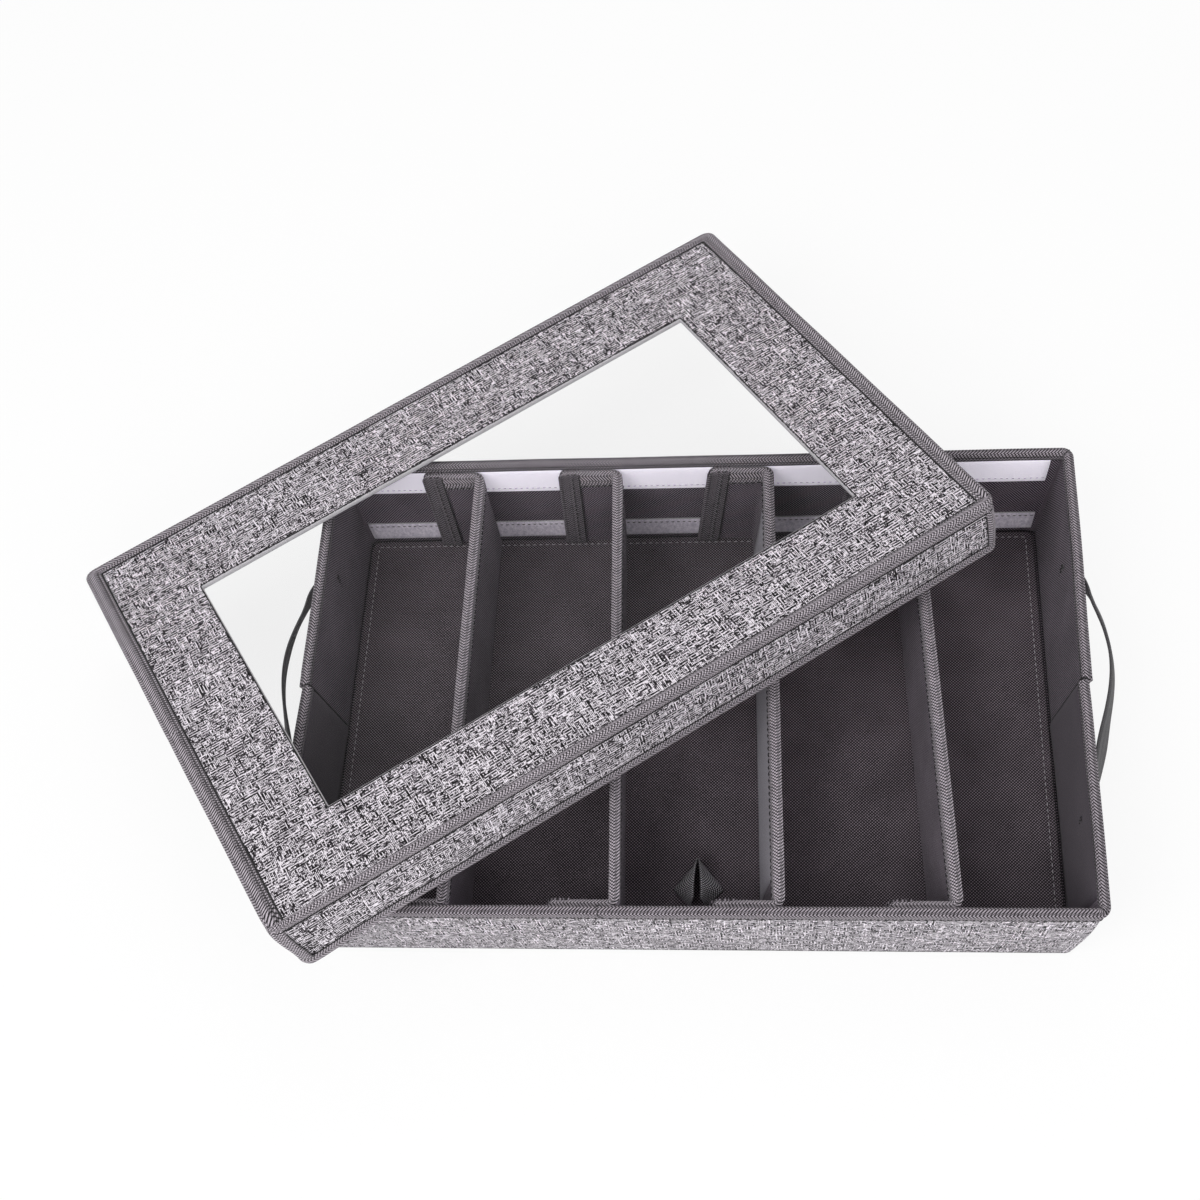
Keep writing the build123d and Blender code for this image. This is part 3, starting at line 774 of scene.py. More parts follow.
sleeve = ClothMesh()
profile = floorLook["edge"] + [(inset, floorLook["top"]) for inset in np.linspace(14, 118, 14)]
rings = sweep(floorRing, profile)
flat = smooth(np.array(profile)[:, 0], 5, 14)[None]
rings[:, :, 2] -= floorLook["unevenness"] * (0.5 + 0.5 * wave(rings[:, :, 0], rings[:, :, 1], 4.0)) * flat
sleeve.disc(rings)
sleeve.disc(sweep(floorRing, [(inset, floorLook["underside"]) for inset in (0.9, 30.0, 70.0, 118.0)]))
settle(sleeve, "floor_sleeve_cloth", "floorLining", "base", "dark_lining_cloth", "floor_sleeve")
hem = Threads(0.24)
hem.row(floorRing(floorLook["hem"], floorLook["hemTop"]), upward, 2.4, 1.6, closed=True)
settle(hem, "floor_sleeve_stitches", "paleThread", "base", "dark_lining_cloth")
print("floor made")

# dividers: one cloth covered board each, with both ends bent left along the walls
dividerLook = dict(
    bend=4.2, bendInset=0.9, soften=0.5, unevenness=0.35, cornerRadius=5.0, edgeTape=12.0, panelDrop=7.2,
    flangeDrop=11.2, tapeUnevenness=0.12, cord=0.34, thread=0.38, innerFace=1.25, outerFace=0.8, facedDivider=3,
    hooksLow=10.6, hooksHigh=62.6, hooksWidth=25.6, hooksFromEdge=5.7, hooksThick=0.45, hooksNap=0.33,
    # down one side and up the other: side, lift over the board, share of the tape's height
    overTop=[
        (1.0, 0.0, 0.0), (1.0, 0.0, 0.25), (1.0, 0.0, 0.5), (1.0, 0.0, 0.72), (1.0, 0.0, 0.88), (0.97, 0.25, 1.0),
        (0.72, 0.7, 1.0), (0.35, 0.95, 1.0), (0.0, 1.15, 1.0), (-0.35, 0.95, 1.0), (-0.72, 0.7, 1.0),
        (-0.97, 0.25, 1.0), (-1.0, 0.0, 0.88), (-1.0, 0.0, 0.72), (-1.0, 0.0, 0.5), (-1.0, 0.0, 0.25), (-1.0, 0.0, 0.0),
    ],
    # half of the fold round a free edge: distance from the edge, side
    roundEdge=[(12.0, 1), (11.5, 1), (8.0, 1), (5.0, 1), (2.5, 1), (1.2, 1), (0.4, 0.92), (-0.25, 0.72), (-0.62, 0.35)],
)


def topDrop(distance):
    # how far the rounded top corners fall away near a free edge
    radius = dividerLook["cornerRadius"]
    inside = np.clip(radius - distance, 0, radius)
    return radius - np.sqrt(np.maximum(radius * radius - inside * inside, 0))


class DividerLine:
    # the board's middle line in plan: front flange, bend, panel, bend, back flange
    def __init__(self, number):
        self.front, self.back, self.lean = (dividers[key][number - 1] for key in ("frontX", "backX", "lean"))
        stops = ((0, 22), (1, 8), (2, 42), (3, 8), (4, 22))
        self.kind = [(part, t) for part, count in stops for t in np.linspace(0, 1, count)[:-1]] + [(4, 1.0)]
        self.share = np.array([(0.0, t, 1.0, 1 - t, 0.0)[part] for part, t in self.kind])
        thin, thick = dividers["flange"] / 2, dividers["board"] / 2
        self.half = thin + (thick - thin) * smooth(self.share, 0, 1)

    def middleX(self, y, z):
        along = (y + tub["depth"] / 2) / tub["depth"]
        below = (dividers["high"] - z) / (dividers["high"] - dividers["low"])
        return self.front + (self.back - self.front) * along - self.lean * below

    def frame(self, z):
        # the line at a height, and the way to its left
        y = halfDepth(z) - dividers["flangeInset"] - dividers["flange"] / 2
        ends = [np.array([self.middleX(way * y, z) + dividers["board"] / 2, way * y]) for way in (-1, 1)]
        front, back = (end - (dividers["flange"] / 2 + dividerLook["bendInset"], 0) for end in ends)
        frontFree, backFree = (end - (dividers["flangeWidth"], 0) for end in ends)
        run = (back - front) / np.linalg.norm(back - front) * dividerLook["bend"]
        left = np.array([-dividerLook["bend"], 0.0])
        straight = lambda a, b, t: a + (b - a) * t
        curve = lambda a, b, c, t: a * (1 - t) ** 2 + b * 2 * t * (1 - t) + c * t * t
        parts = (
            lambda t: straight(frontFree, front + left, t), lambda t: curve(front + left, front, front + run, t),
            lambda t: straight(front + run, back - run, t), lambda t: curve(back - run, back, back + left, t),
            lambda t: straight(back + left, backFree, t),
        )
        line = np.array([parts[part](t) for part, t in self.kind])
        along = directions(line)
        return line, np.stack([-along[:, 1], along[:, 0]], 1)

    def surface(self, offsets, levels):
        # points at given distances to the left of the middle line and heights, one column each
        columns = []
        for k in range(levels.shape[1]):
            line, left = self.frame(float(np.mean(levels[:, k])))
            columns.append(np.concatenate([line + left * offsets[:, k : k + 1], levels[:, k : k + 1]], 1))
        return np.stack(columns, 1)


def edgeTapeFold(line, end, edges, threads):
    # tape folded round the free edge of a flange; its face towards the wall's middle lies over the top tape
    g = dividerLook
    way = 1.0 if end == 0 else -1.0
    half = dividers["flange"] / 2
    steps = np.linspace(0, 1, 26)
    outer, inner = [], []
    for distance, side in g["roundEdge"] + [(-0.7, 0.0)] + [(d, -side) for d, side in reversed(g["roundEdge"])]:
        top = dividers["high"] + 0.55 - topDrop(max(distance, 0.0))
        face = half + (g["innerFace"] if side > 0 else g["outerFace"])
        for t in steps:
            z = dividers["low"] + (top - dividers["low"]) * t
            middle, left = line.frame(z)
            along = middle[1] - middle[0] if end == 0 else middle[-2] - middle[-1]
            along = along / np.linalg.norm(along)
            outer.append((*(middle[end] + along * distance + left[end] * face * side), z))
            back = middle[end] + along * max(distance, 0.02) + left[end] * (half + 0.06) * side
            inner.append((*back, z - (0.5 if t == 1.0 else 0.0)))
    outer, inner = (np.array(points).reshape(-1, len(steps), 3).transpose(1, 0, 2) for points in (outer, inner))
    edges.slab(outer, inner, spread(steps * 63, runLength(outer[10])))
    # dark stitches down the face that shows, and a cord along the tape's edge
    normal = np.array([0.0, way, 0.0])
    threads.row(outer[1:-1, 2], normal, 2.6, 1.2)
    threads.line(outer[1:-1, 0] + normal * 0.05, g["cord"])


def hookTape(line, end, hooked):
    # on the back of a flange, where it meets the wall's loops
    g = dividerLook
    x = np.linspace(0, 1, 16)
    levels = np.linspace(g["hooksLow"], g["hooksHigh"], 14)
    y = end * (halfDepth(tub["height"] / 2) - dividers["flangeInset"])
    outer, inner = [], []
    for z in levels:
        right = line.middleX(y, z) + dividers["board"] / 2 - g["hooksFromEdge"]
        depth = halfDepth(z) - dividers["flangeInset"]
        edge = np.minimum(np.minimum(x, 1 - x) * g["hooksWidth"], min(z - g["hooksLow"], g["hooksHigh"] - z))
        thick = g["hooksThick"] + g["hooksNap"] * smooth(edge, 0, 1.0)
        outer.append(column(right - g["hooksWidth"] * x, end * (depth + thick), z))
        inner.append(column(right - g["hooksWidth"] * x, end * depth, z))
    hooked.slab(np.stack(outer, 1), np.stack(inner, 1), spread(g["hooksWidth"] * x, levels))


def makeDivider(number):
    g, line, body = dividerLook, DividerLine(number), f"divider_{number}"
    half, share = line.half[:, None], line.share[:, None]
    s = runLength(line.frame(dividers["high"])[0])
    fromEnd = np.minimum(s, s[-1] - s)
    drop = topDrop(fromEnd)[:, None]
    low, high, tape = dividers["low"], dividers["high"], dividers["tape"]

    # the covered board, softly rounded at its top and bottom
    levels = np.concatenate([[0.0, 0.012, 0.03], np.linspace(0.07, 0.95, 17), [0.975, 0.99, 1.0]])
    rounding = np.concatenate([[0.45, 0.8, 0.95], np.ones(17), [0.93, 0.75, 0.4]])[None]
    z = low + (high - drop - low) * levels[None]
    middle = np.sin(np.pi * levels)[None] * share
    swell, ripple = g["soften"] / 2 * middle, g["unevenness"] * wave(s[:, None], z, number * 3.1) * middle
    leftFace = line.surface(half * rounding + np.clip(swell + ripple, -0.6, 0.8), z)
    rightFace = line.surface(-half * rounding - np.clip(swell - ripple, -0.6, 0.8), z)
    along = np.repeat(s[:, None], z.shape[1], 1)
    cloth = ClothMesh()
    cloth.slab(leftFace, rightFace, np.stack([along, z], 2))
    nodes = f"{body}_panel", f"{body}_front_flange", f"{body}_back_flange"
    settle(cloth, f"{body}_cloth", "lining", body, "dark_lining_cloth", *nodes)

    # tape folded over the top edge
    bottom = high - g["flangeDrop"] - (g["panelDrop"] - g["flangeDrop"]) * share
    side, lift, rise = np.array(g["overTop"]).T[:, None]
    climb = bottom + (high - 0.6 - drop - bottom) * rise
    outerOff, outerZ = (half + tape) * side, climb + lift * (tape + 0.1)
    innerOff, innerZ = (half + 0.08) * side, climb + lift * 0.2
    outerOff = outerOff + g["tapeUnevenness"] * wave(s[:, None], outerZ, number * 1.9) * np.sign(outerOff) * share
    binding = ClothMesh()
    across = runLength(np.stack([outerOff[40], outerZ[40]], 1))
    binding.slab(line.surface(outerOff, outerZ), line.surface(innerOff, innerZ), spread(s, across))

    edges, threads = ClothMesh(), Threads(g["thread"])
    for end in (0, -1):
        edgeTapeFold(line, end, edges, threads)
    settle(binding, f"{body}_tape", "tape", body, "edge_tape", f"{body}_binding")
    settle(edges, f"{body}_edge_tape", "shadeTape", body, "edge_tape")
    if number == g["facedDivider"]:
        # its left face is covered with a smoother cloth, made paler as painted light where the face turns up towards
        # the light
        flat = (line.share > 0.98).nonzero()[0][2:-2]
        patch = slice(flat[0], flat[-1] + 1), slice(3, -5)
        front, behind = (leftFace[patch] - (gap, 0, 0) for gap in (0.16, 0.01))
        facing = ClothMesh()
        facing.slab(front, behind, np.stack([along[patch], z[patch]], 2))
        settle(facing, f"{body}_left_facing", "paleLining", body, "dark_lining_cloth")

    # stitches near the lower edge of the top tape
    for side in (1, -1):
        row = line.surface((half + tape + 0.02) * side, bottom + 1.1)[:, 0]
        facing = line.frame(65.0)[1] * side
        keep = (fromEnd > g["edgeTape"]) & ((side > 0) | (line.share > 0.9))
        threads.row(row[keep], column(facing[keep, 0], facing[keep, 1], 0.0), 2.6, 1.2)
    settle(threads, f"{body}_stitches", "darkThread", body, "edge_tape")

    hooked = ClothMesh()
    for end in (-1, 1):
        hookTape(line, end, hooked)
    settle(hooked, f"{body}_hooks", "hooks", body, "hook_tape", f"{body}_hook_tapes")


for number in range(1, 5):
    makeDivider(number)
print("dividers made")

# webbing handles: one strap from root to root, given by its distance from the wall and its y
strapLook = dict(
    width=17.0, thick=1.7, height=48.0, lean=0.20, turned=0.17, turnedNear=0.14, sag=0.6, pinch=0.16, ridge=0.12,
    roots=(75.0, -80.0), slit=(41.5, 54.5), slitGap=4.0,
    knots=[
        (-1.5, 74.5), (3.6, 72.6), (8.6, 68.6), (12.2, 62.0), (14.6, 53.5), (17.6, 43.0), (19.9, 31.5), (21.0, 20.0),
        (20.7, 9.0), (19.0, -3.0), (16.2, -15.5), (13.0, -28.5), (9.6, -42.0), (6.2, -56.0), (2.8, -69.5),
        (-1.0, -80.0),
    ],
)


def strapPath(side):
    # a smooth curve through the knots
    knots = np.array(strapLook["knots"])
    slopes = np.gradient(knots, axis=0)
    fine = np.linspace(0, len(knots) - 1, 90)
    k = np.clip(fine.astype(int), 0, len(knots) - 2)
    h = (fine - k)[:, None]
    path = (2 * h**3 - 3 * h**2 + 1) * knots[k] + (h**3 - 2 * h**2 + h) * slopes[k]
    path += (3 * h**2 - 2 * h**3) * knots[k + 1] + (h**3 - h**2) * slopes[k + 1]
    return np.stack([side * (halfWidth(strapLook["height"]) + path[:, 0]), path[:, 1]], 1)


def makeStrap(sideName, side):
    g = strapLook
    path = strapPath(side)
    s = runLength(path)
    along = directions(path)
    out = np.stack([along[:, 1], -along[:, 0]], 1)
    if out[45, 0] * side < 0:
        out = -out
    width, wall = g["width"], halfWidth(g["height"])
    share = np.linspace(-1, 1, 15)
    fromEnd = np.minimum(s, s[-1] - s)
    pinch = 1 - g["pinch"] * np.exp(-fromEnd / 7.0)
    twist = -g["lean"] * smooth(fromEnd, 4, 34)
    twist -= g["turnedNear"] * np.exp(-(((s - 0.72 * s[-1]) / 16.0) ** 2))
    twist -= g["turned"] * np.exp(-(((s - 0.19 * s[-1]) / (0.11 * s[-1])) ** 2))
    outer, inner = [], []
    for k in share:
        body = g["thick"] / 2 * (0.55 + 0.45 * smooth(1 - abs(k), 0, 0.14)) + g["ridge"] * math.cos(k * 9.4)
        z = g["height"] + width / 2 * k * pinch - g["sag"] * np.sin(np.pi * s / s[-1])
        lean = twist * width / 2 * k
        for points, reach in ((outer, lean + body), (inner, lean - body)):
            spot = path + out * reach[:, None]
            points.append(column(spot[:, 0], spot[:, 1], z))
    strap = ClothMesh()
    strap.slab(np.stack(outer, 1), np.stack(inner, 1), spread(s, (share + 1) * width / 2))
    piece = strap.build(f"{sideName}_webbing_handle", "webbing")
    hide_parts(f"{sideName}_handle_roots", f"{sideName}_handle_strap")
    start, end = ((side * (wall * millimetre + reach), 0, 0.048) for reach in (0.0005, 0.0095))
    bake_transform(piece)
    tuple(start)
    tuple(end)
    # the stitched slits where the strap goes through the wall
    threads, inside = Threads(0.26), Threads(0.42)
    z = np.linspace(*g["slit"], 9)
    for y in g["roots"]:
        for shift in (-g["slitGap"], g["slitGap"]):
            row = column(side * (wall - 4.55), y + shift * 0.2 + 0.5 * (np.arange(9) % 2), z)
            inside.row(row, (-side, 0.0, 0.0), 2.4, 1.3)
            threads.row(column(side * (wall - 0.45), y + shift, z), (side, 0.0, 0.0), 2.2, 1.0)
    settle(threads, f"{sideName}_handle_stitches", "darkThread", "base", "strap_webbing", turn=softTub)
    settle(inside, f"{sideName}_handle_inner_stitches", "darkThread", "base", "strap_webbing", turn=softTub)


makeStrap("left", -1)
makeStrap("right", 1)
print("handles made")

# the floor board's pull loop: a ribbon on edge, its two sides leaning apart at the foot
pullLook = dict(
    centreX=6.0, hingeY=-113.97, low=6.75, width=13.9, footRoot=4.3, footWide=14.0, topRoot=2.3, topWide=2.1, apex=0.55,
    length=26.6, topLength=22.6, widest=0.37, thick=0.8, bow=0.5, footX=7.6, footY=8.2, footLow=6.4, footHigh=1.1,
)


def makePull():
    g = pullLook
    share, t = np.linspace(0, 1, 11), np.linspace(0, 1, 31)
    outer, inner = [], []
    for k in share:
        root = g["footRoot"] + (g["topRoot"] - g["footRoot"]) * k
        wide = g["footWide"] + (g["topWide"] - g["footWide"]) * k + g["bow"] * math.sin(math.pi * k)
        length = g["length"] + (g["topLength"] - g["length"]) * k
        rise = root + (wide - root) * np.minimum(t / g["widest"], 1.0)
        fall = g["apex"] + (wide - g["apex"]) * np.clip((1 - t) / (1 - g["widest"]), 0, 1)
        half = -np.log(np.exp(-rise * 2.0) + np.exp(-fall * 2.0)) / 2.0
        half = np.maximum(half, g["apex"] * 0.8)
        leftSide = np.stack([-half, g["hingeY"] + 2.1 + length * t], 1)
        path = np.concatenate([leftSide, leftSide[::-1] * (-1, 1)])
        along = directions(path)
        out = np.stack([-along[:, 1], along[:, 0]], 1)
        body = g["thick"] / 2 * (0.6 + 0.4 * float(smooth(min(k, 1 - k), 0, 0.12)))
        for points, spot in ((outer, path + out * body), (inner, path - out * body)):
            points.append(column(g["centreX"] + spot[:, 0], spot[:, 1], g["low"] + g["width"] * k))
    outer, inner = np.stack(outer, 1), np.stack(inner, 1)
    ribbon = ClothMesh()
    ribbon.slab(outer, inner, spread(runLength(outer[:, 0]), share * 16.5))
    settle(ribbon, "pull_ribbon", "ribbon", "pull_loop", "ribbon", "pull_loop")

    # its sewn foot on the floor board
    foot, threads = ClothMesh(), Threads(0.22)
    a, b = np.moveaxis(spread(np.linspace(-1, 1, 13), np.linspace(0, 1, 9)), 2, 0)
    x = g["centreX"] + g["footX"] * a * (1 - 0.08 * b)
    y = g["hingeY"] - 0.4 - g["footY"] * (1 - b)
    rounded = 1 - 0.55 * np.maximum(np.abs(a) ** 6, np.abs(2 * b - 1) ** 6)
    raised = column(x, y, g["footLow"] + 0.02 + g["footHigh"] * rounded)
    foot.slab(raised, column(x, y, g["footLow"]), raised[:, :, :2])
    settle(foot, "pull_ribbon_foot", "ribbon", "base", "ribbon", "pull_loop_tab")
    for fromHinge in (7.2, 1.6):
        threads.row(column(np.linspace(-0.4, 12.4, 9), g["hingeY"] - fromHinge, 7.35), upward, 2.0, 0.9)
    settle(threads, "pull_ribbon_stitches", "darkThread", "base", "ribbon")


makePull()
print("pull loop made")

# the lid, made level and then laid where the CAD lid lies
lidLook = dict(
    sideBorder=56.0, frontBorder=50.0, backBorder=57.0, windowCorner=0.9, puff=0.7, unevenness=0.4, tapeUnevenness=0.18,
    drawnIn=5.2, drawnOut=1.6, drawnReach=28.0, rounder=0.6, nearTape=(0.15, 0.55), leftTape=1.35, rightTape=1.25,
    nearDrop=(0.64, 0.95), topFace=7.2, sideFace=33.0, hemFace=7.0,
    # the top cloth's rows from the window to the edge: share of the way, and how far it rolls at the window
    topShares=[0.0, 0.006, 0.02, 0.05, 0.09], windowRoll=[-0.75, -0.175, 0.05, 0.06, 0.025],
    rollBack=[-0.3, -0.07, 0, 0, 0],
    topOutside=[
        (7.2, 40.75), (6.6, 41.0), (5.7, 41.12), (6.0, 41.2), (4.4, 41.25), (2.8, 41.2), (1.5, 41.0), (0.6, 40.55),
        (0.05, 39.9), (-0.2, 38.9), (-0.28, 37.6), (-0.25, 36.0), (-0.15, 34.6), (-0.05, 33.7), (0.0, 33.0),
    ],
    topInside=[
        (7.2, 40.3), (6.6, 40.34), (5.7, 40.38), (6.0, 40.4), (4.4, 40.4), (2.8, 40.38), (1.9, 40.3), (1.25, 40.0),
        (0.85, 39.5), (0.68, 38.7), (0.6, 37.6), (0.6, 36.0), (0.6, 34.6), (0.6, 33.7), (0.6, 33.0),
    ],
    hemOutside=[
        (0.0, 7.0), (-0.15, 6.0), (-0.2, 4.4), (-0.2, 2.8), (-0.1, 1.4), (0.25, 0.5), (0.9, 0.08), (1.9, 0.0),
        (2.9, 0.08), (3.6, 0.5), (3.85, 1.3), (3.9, 2.8), (3.85, 4.4), (3.8, 7.0),
    ],
    hemInside=[
        (0.5, 7.0), (0.5, 6.0), (0.5, 4.4), (0.5, 2.8), (0.55, 1.7), (0.75, 1.1), (1.2, 0.75), (1.9, 0.65), (2.6, 0.75),
        (3.05, 1.1), (3.22, 1.7), (3.24, 2.8), (3.24, 4.4), (3.24, 7.0),
    ],
    edgingOutside=[(-0.05, 40.3), (-0.4, 40.1), (-0.5, 39.4), (-0.5, 38.6), (-0.5, 38.0), (-0.4, 37.5), (-0.05, 37.35)],
    edgingInside=[40.25, 40.0, 39.4, 38.8, 38.2, 37.7, 37.4],
    tapeSeam=0.42, thinSeam=0.3, cornerStraight=0.9, cornerProud=0.3, cornerTucks=(35.4, 33.0, 33.0, 33.0),
)


def lidAxes():
    # two edges rest on the tub's rim and one inner corner on its front wall
    leftFoot = np.array([-tub["width"] / 2, -tub["depth"] / 2 + lid["footInset"], tub["height"] + lid["seatGap"]])
    clear = lid["length"] - 2 * lid["inset"]
    skew = math.radians(lid["skew"])
    yStep = tub["depth"] - lid["footInset"]
    footLine = np.array([math.sqrt((clear / math.cos(skew)) ** 2 - yStep**2), yStep, 0.0])
    footLine /= np.linalg.norm(footLine)
    sideways = np.array([-footLine[1], footLine[0], 0.0])
    prop = np.array([-tub["width"] / 2, tub["depth"] / 2, tub["height"] + lid["seatGap"]])
    tilt = math.asin(lid["underside"] / float((prop - leftFoot) @ sideways))
    downhill = sideways * math.cos(tilt) - upward * math.sin(tilt)
    normal = np.cross(footLine, downhill)
    along = footLine * math.cos(skew) - downhill * math.sin(skew)
    across = np.cross(normal, along)
    centre = leftFoot + along * (clear / 2) + across * (lid["depth"] / 2 - lid["overhang"])
    return centre, np.stack([along, across, normal])


lidCentre, lidTurn = lidAxes()
lidHalf = np.array([lid["length"], lid["depth"]]) / 2
windowLow = lidHalf * -1 + (lidLook["sideBorder"], lidLook["frontBorder"])
windowHigh = lidHalf - (lidLook["sideBorder"], lidLook["backBorder"])


def toLid(points):
    return lidCentre + np.asarray(points, float) @ lidTurn


def softLid(points):
    # the hem is drawn in at the near left corner, and that corner is rounder
    g, p = lidLook, np.array(points, float)
    fromLeft, fromFront, w = p[:, 0] + lidHalf[0], p[:, 1] + lidHalf[1], p[:, 2].copy()
    near = np.exp(-((fromFront / g["drawnReach"]) ** 2))
    corner = g["rounder"] * np.exp(-(fromLeft**2 + fromFront**2) / 42.0)
    hang = near * smooth(lid["height"] - w, 5, 38) * (1 - smooth(fromLeft, 0, 70))
    p[:, 0] += corner + g["drawnIn"] * hang
    p[:, 1] += corner - g["drawnOut"] * hang * np.exp(-((fromLeft / 40) ** 2))
    return toLid(p)


def tapeWidths(points):
    # the top tape is folded unevenly: narrow on top along the near side, wide at both ends
    g, p = lidLook, np.array(points, float)
    x, y, w = p.T.copy()
    a, b = lidHalf
    along = np.clip((x + a) / (2 * a), 0, 1)
    blend = lambda pair: pair[0] + (pair[1] - pair[0]) * along
    onTop = w > 40.1
    inBand = lambda distance: onTop & (distance > 1.5) & (distance < 9)
    near, left, right = inBand(y + b), inBand(x + a), inBand(a - x)
    p[near, 1] = 1.5 - b + ((y + b - 1.5) * blend(g["nearTape"]))[near]
    p[left, 0] = 1.5 - a + ((x + a - 1.5) * g["leftTape"])[left]
    p[right, 0] = a - 1.5 - ((a - x - 1.5) * g["rightTape"])[right]
    side = (y < 1.3 - b) & (w < 39.5) & (w > 30)
    p[side, 2] = lid["height"] - ((lid["height"] - w) * blend(g["nearDrop"]))[side]
    return softLid(p)


def windowRing(grow, w):
    # points round the window at the lid's stations, grown outwards
    halfX, halfY = (windowHigh - windowLow) / 2 + grow
    middle = (windowLow[1] + windowHigh[1]) / 2
    return roundedRing(lidStations, halfX, halfY, lidLook["windowCorner"], w, middle)


# cloth on the top, from the window's edge to the outer edge
outerEdge, windowEdge = lidRing(1.0, 0.0), windowRing(0.0, 0.0)
shares = np.concatenate([lidLook["topShares"], np.linspace(0.14, 1.0, 22)])
rolled, rollBack = (np.concatenate([lidLook[key], np.zeros(22)])[None] for key in ("windowRoll", "rollBack"))
rows = windowEdge[:, None] + (outerEdge - windowEdge)[:, None] * shares[None, :, None]
x, y = rows[:, :, 0], rows[:, :, 1]
bumpy = lidLook["unevenness"] * wave(x, y, 6.0) * np.sin(math.pi * np.minimum(shares * 1.05, 1.0))[None]
top = column(x, y, 40.35 + rolled + bumpy)
cloth = ClothMesh()
cloth.slab(top, column(x, y, 39.7 + np.minimum(bumpy, 0) + rollBack), planLengths(top), closed=True)

# cloth down the four sides
drops = np.linspace(39.4, 0.9, 18)
swell = np.sin(np.pi * np.clip((drops - 4) / 34, 0, 1))[None]
perimeter = runLength(lidRing(0.6, 20))[:, None]
push = (lidLook["puff"] + lidLook["unevenness"] * wave(perimeter, drops[None], 3.0)) * swell
outer = pushOut(sweep(lidRing, atInset(0.6, drops)), lidStations, push)
inner = pushOut(sweep(lidRing, atInset(1.15, drops)), lidStations, push * 0.9)
cloth.slab(outer, inner, ringLengths(lidRing, atInset(0.6, drops)), closed=True)
settle(cloth, "lid_cloth", "linen", "lid", "woven_linen_cloth", "lid_cover", turn=softLid)

# lining under the top and inside the sides
shares = np.linspace(0.0, 1.0, 12)[None, :, None]
rows = windowEdge[:, None] + (lidRing(3.2, 0.0) - windowEdge)[:, None] * shares + upward * 37.55
under = ClothMesh()
under.slab(rows, rows + upward * 0.42, planLengths(rows), closed=True)
drops = np.linspace(37.9, 0.9, 14)
sides = [sweep(lidRing, atInset(inset, drops)) for inset in (2.72, 3.18)]
under.slab(*sides, ringLengths(lidRing, atInset(2.7, drops)), closed=True)
settle(under, "lid_lining_cloth", "lining", "lid", "dark_lining_cloth", "lid_lining", turn=softLid)

# tapes rolled over the top edge and folded round the hem
push = lidLook["tapeUnevenness"] * wave(perimeter, np.array(lidLook["topOutside"])[None, :, 1], 7.0)
edge = ringSheet(lidRing, lidLook["topOutside"], lidLook["topInside"], push)
settle(edge, "lid_top_tape", "tape", "lid", "edge_tape", "lid_top_binding", turn=tapeWidths)
hem = ringSheet(lidRing, lidLook["hemOutside"], lidLook["hemInside"])
settle(hem, "lid_hem_tape", "tape", "lid", "edge_tape", "lid_hem_binding", turn=softLid)

# upright tapes over the corner seams, with a dark line down both edges
uprights, seams = ClothMesh(), Threads(lidLook["thinSeam"])
radius = lid["corner"]
shares = np.concatenate([[-1.0, -0.5], np.linspace(0, 1, 11), [1.5, 2.0]])
for corner, (x, y) in enumerate([(-1, -1), (1, -1), (1, 1), (-1, 1)]):
    angle = (2 + corner + np.clip(shares, 0, 1)) * math.pi / 2
    normals, tangents = column(np.cos(angle), np.sin(angle), 0.0), column(-np.sin(angle), np.cos(angle), 0.0)
    beyond = (np.minimum(shares, 0) + np.maximum(shares - 1, 0)) * lidLook["cornerStraight"]
    hub = np.array([x * (lidHalf[0] - radius), y * (lidHalf[1] - radius), 0.0])
    path = hub + normals * radius + tangents * beyond[:, None]
    tuck = lidLook["cornerTucks"][corner]
    levels = np.linspace(lidLook["hemFace"] - 0.6, tuck + 1.8, 14)
    s = runLength(path)
    rounded = 0.5 + 0.5 * smooth(np.minimum(s, s[-1] - s), 0, 1.2)[:, None]
    lift = lidLook["puff"] * np.sin(math.pi * np.clip((levels - 4) / 34, 0, 1))
    tucked = smooth(levels, tuck, tuck + 1.6)
    out = (lidLook["cornerProud"] * rounded + lift) * (1 - tucked) - 0.1 * tucked
    outer, inner = (
        path[:, None] + normals[:, None] * reach[:, :, None] + upward * levels[None, :, None]
        for reach in (out, (lift * (1 - tucked) - 0.6)[None])
    )
    uprights.slab(outer, inner, spread(s, levels)[:, :, ::-1])
    for end, way in ((0, -1.0), (-1, 1.0)):
        seams.line(outer[end, :-2] + tangents[end] * way * 0.25 - normals[end] * 0.1)
settle(uprights, "lid_corner_seam_tapes", "tape", "lid", "edge_tape", "lid_corner_tapes", turn=softLid)
settle(seams, "lid_corner_seams", "darkThread", "lid", "edge_tape", turn=softLid)

# the two boards that follow the drawn in corner
levels = np.linspace(0.9, 37.3, 16)
for name, fixed in (("left", 0), ("front", 1)):
    run = np.linspace(7.0 - lidHalf[1 - fixed], lidHalf[1 - fixed] - 7.0, 60)
    along, w = np.moveaxis(spread(run, levels), 2, 0)
    across = [inset - lidHalf[fixed] for inset in (1.25, 2.65)]
    board = ClothMesh()
    board.slab(*(column(*((c, along) if fixed == 0 else (along, c)), w) for c in across), spread(run, levels))
    settle(board, f"lid_{name}_stiffener", "board", "lid", "stiffener_board", f"lid_{name}_board", turn=softLid)

# pale edging down the window's edge
edging = ClothMesh()
outside = sweep(windowRing, lidLook["edgingOutside"])
inside = sweep(windowRing, atInset(-0.02, lidLook["edgingInside"]))
span = runLength(np.concatenate([windowEdge, windowEdge[:1]]))
edging.slab(outside, inside, spread(span, np.arange(7) * 0.5), closed=True)
settle(edging, "lid_window_edging", "edging", "lid", "edge_tape", turn=toLid)

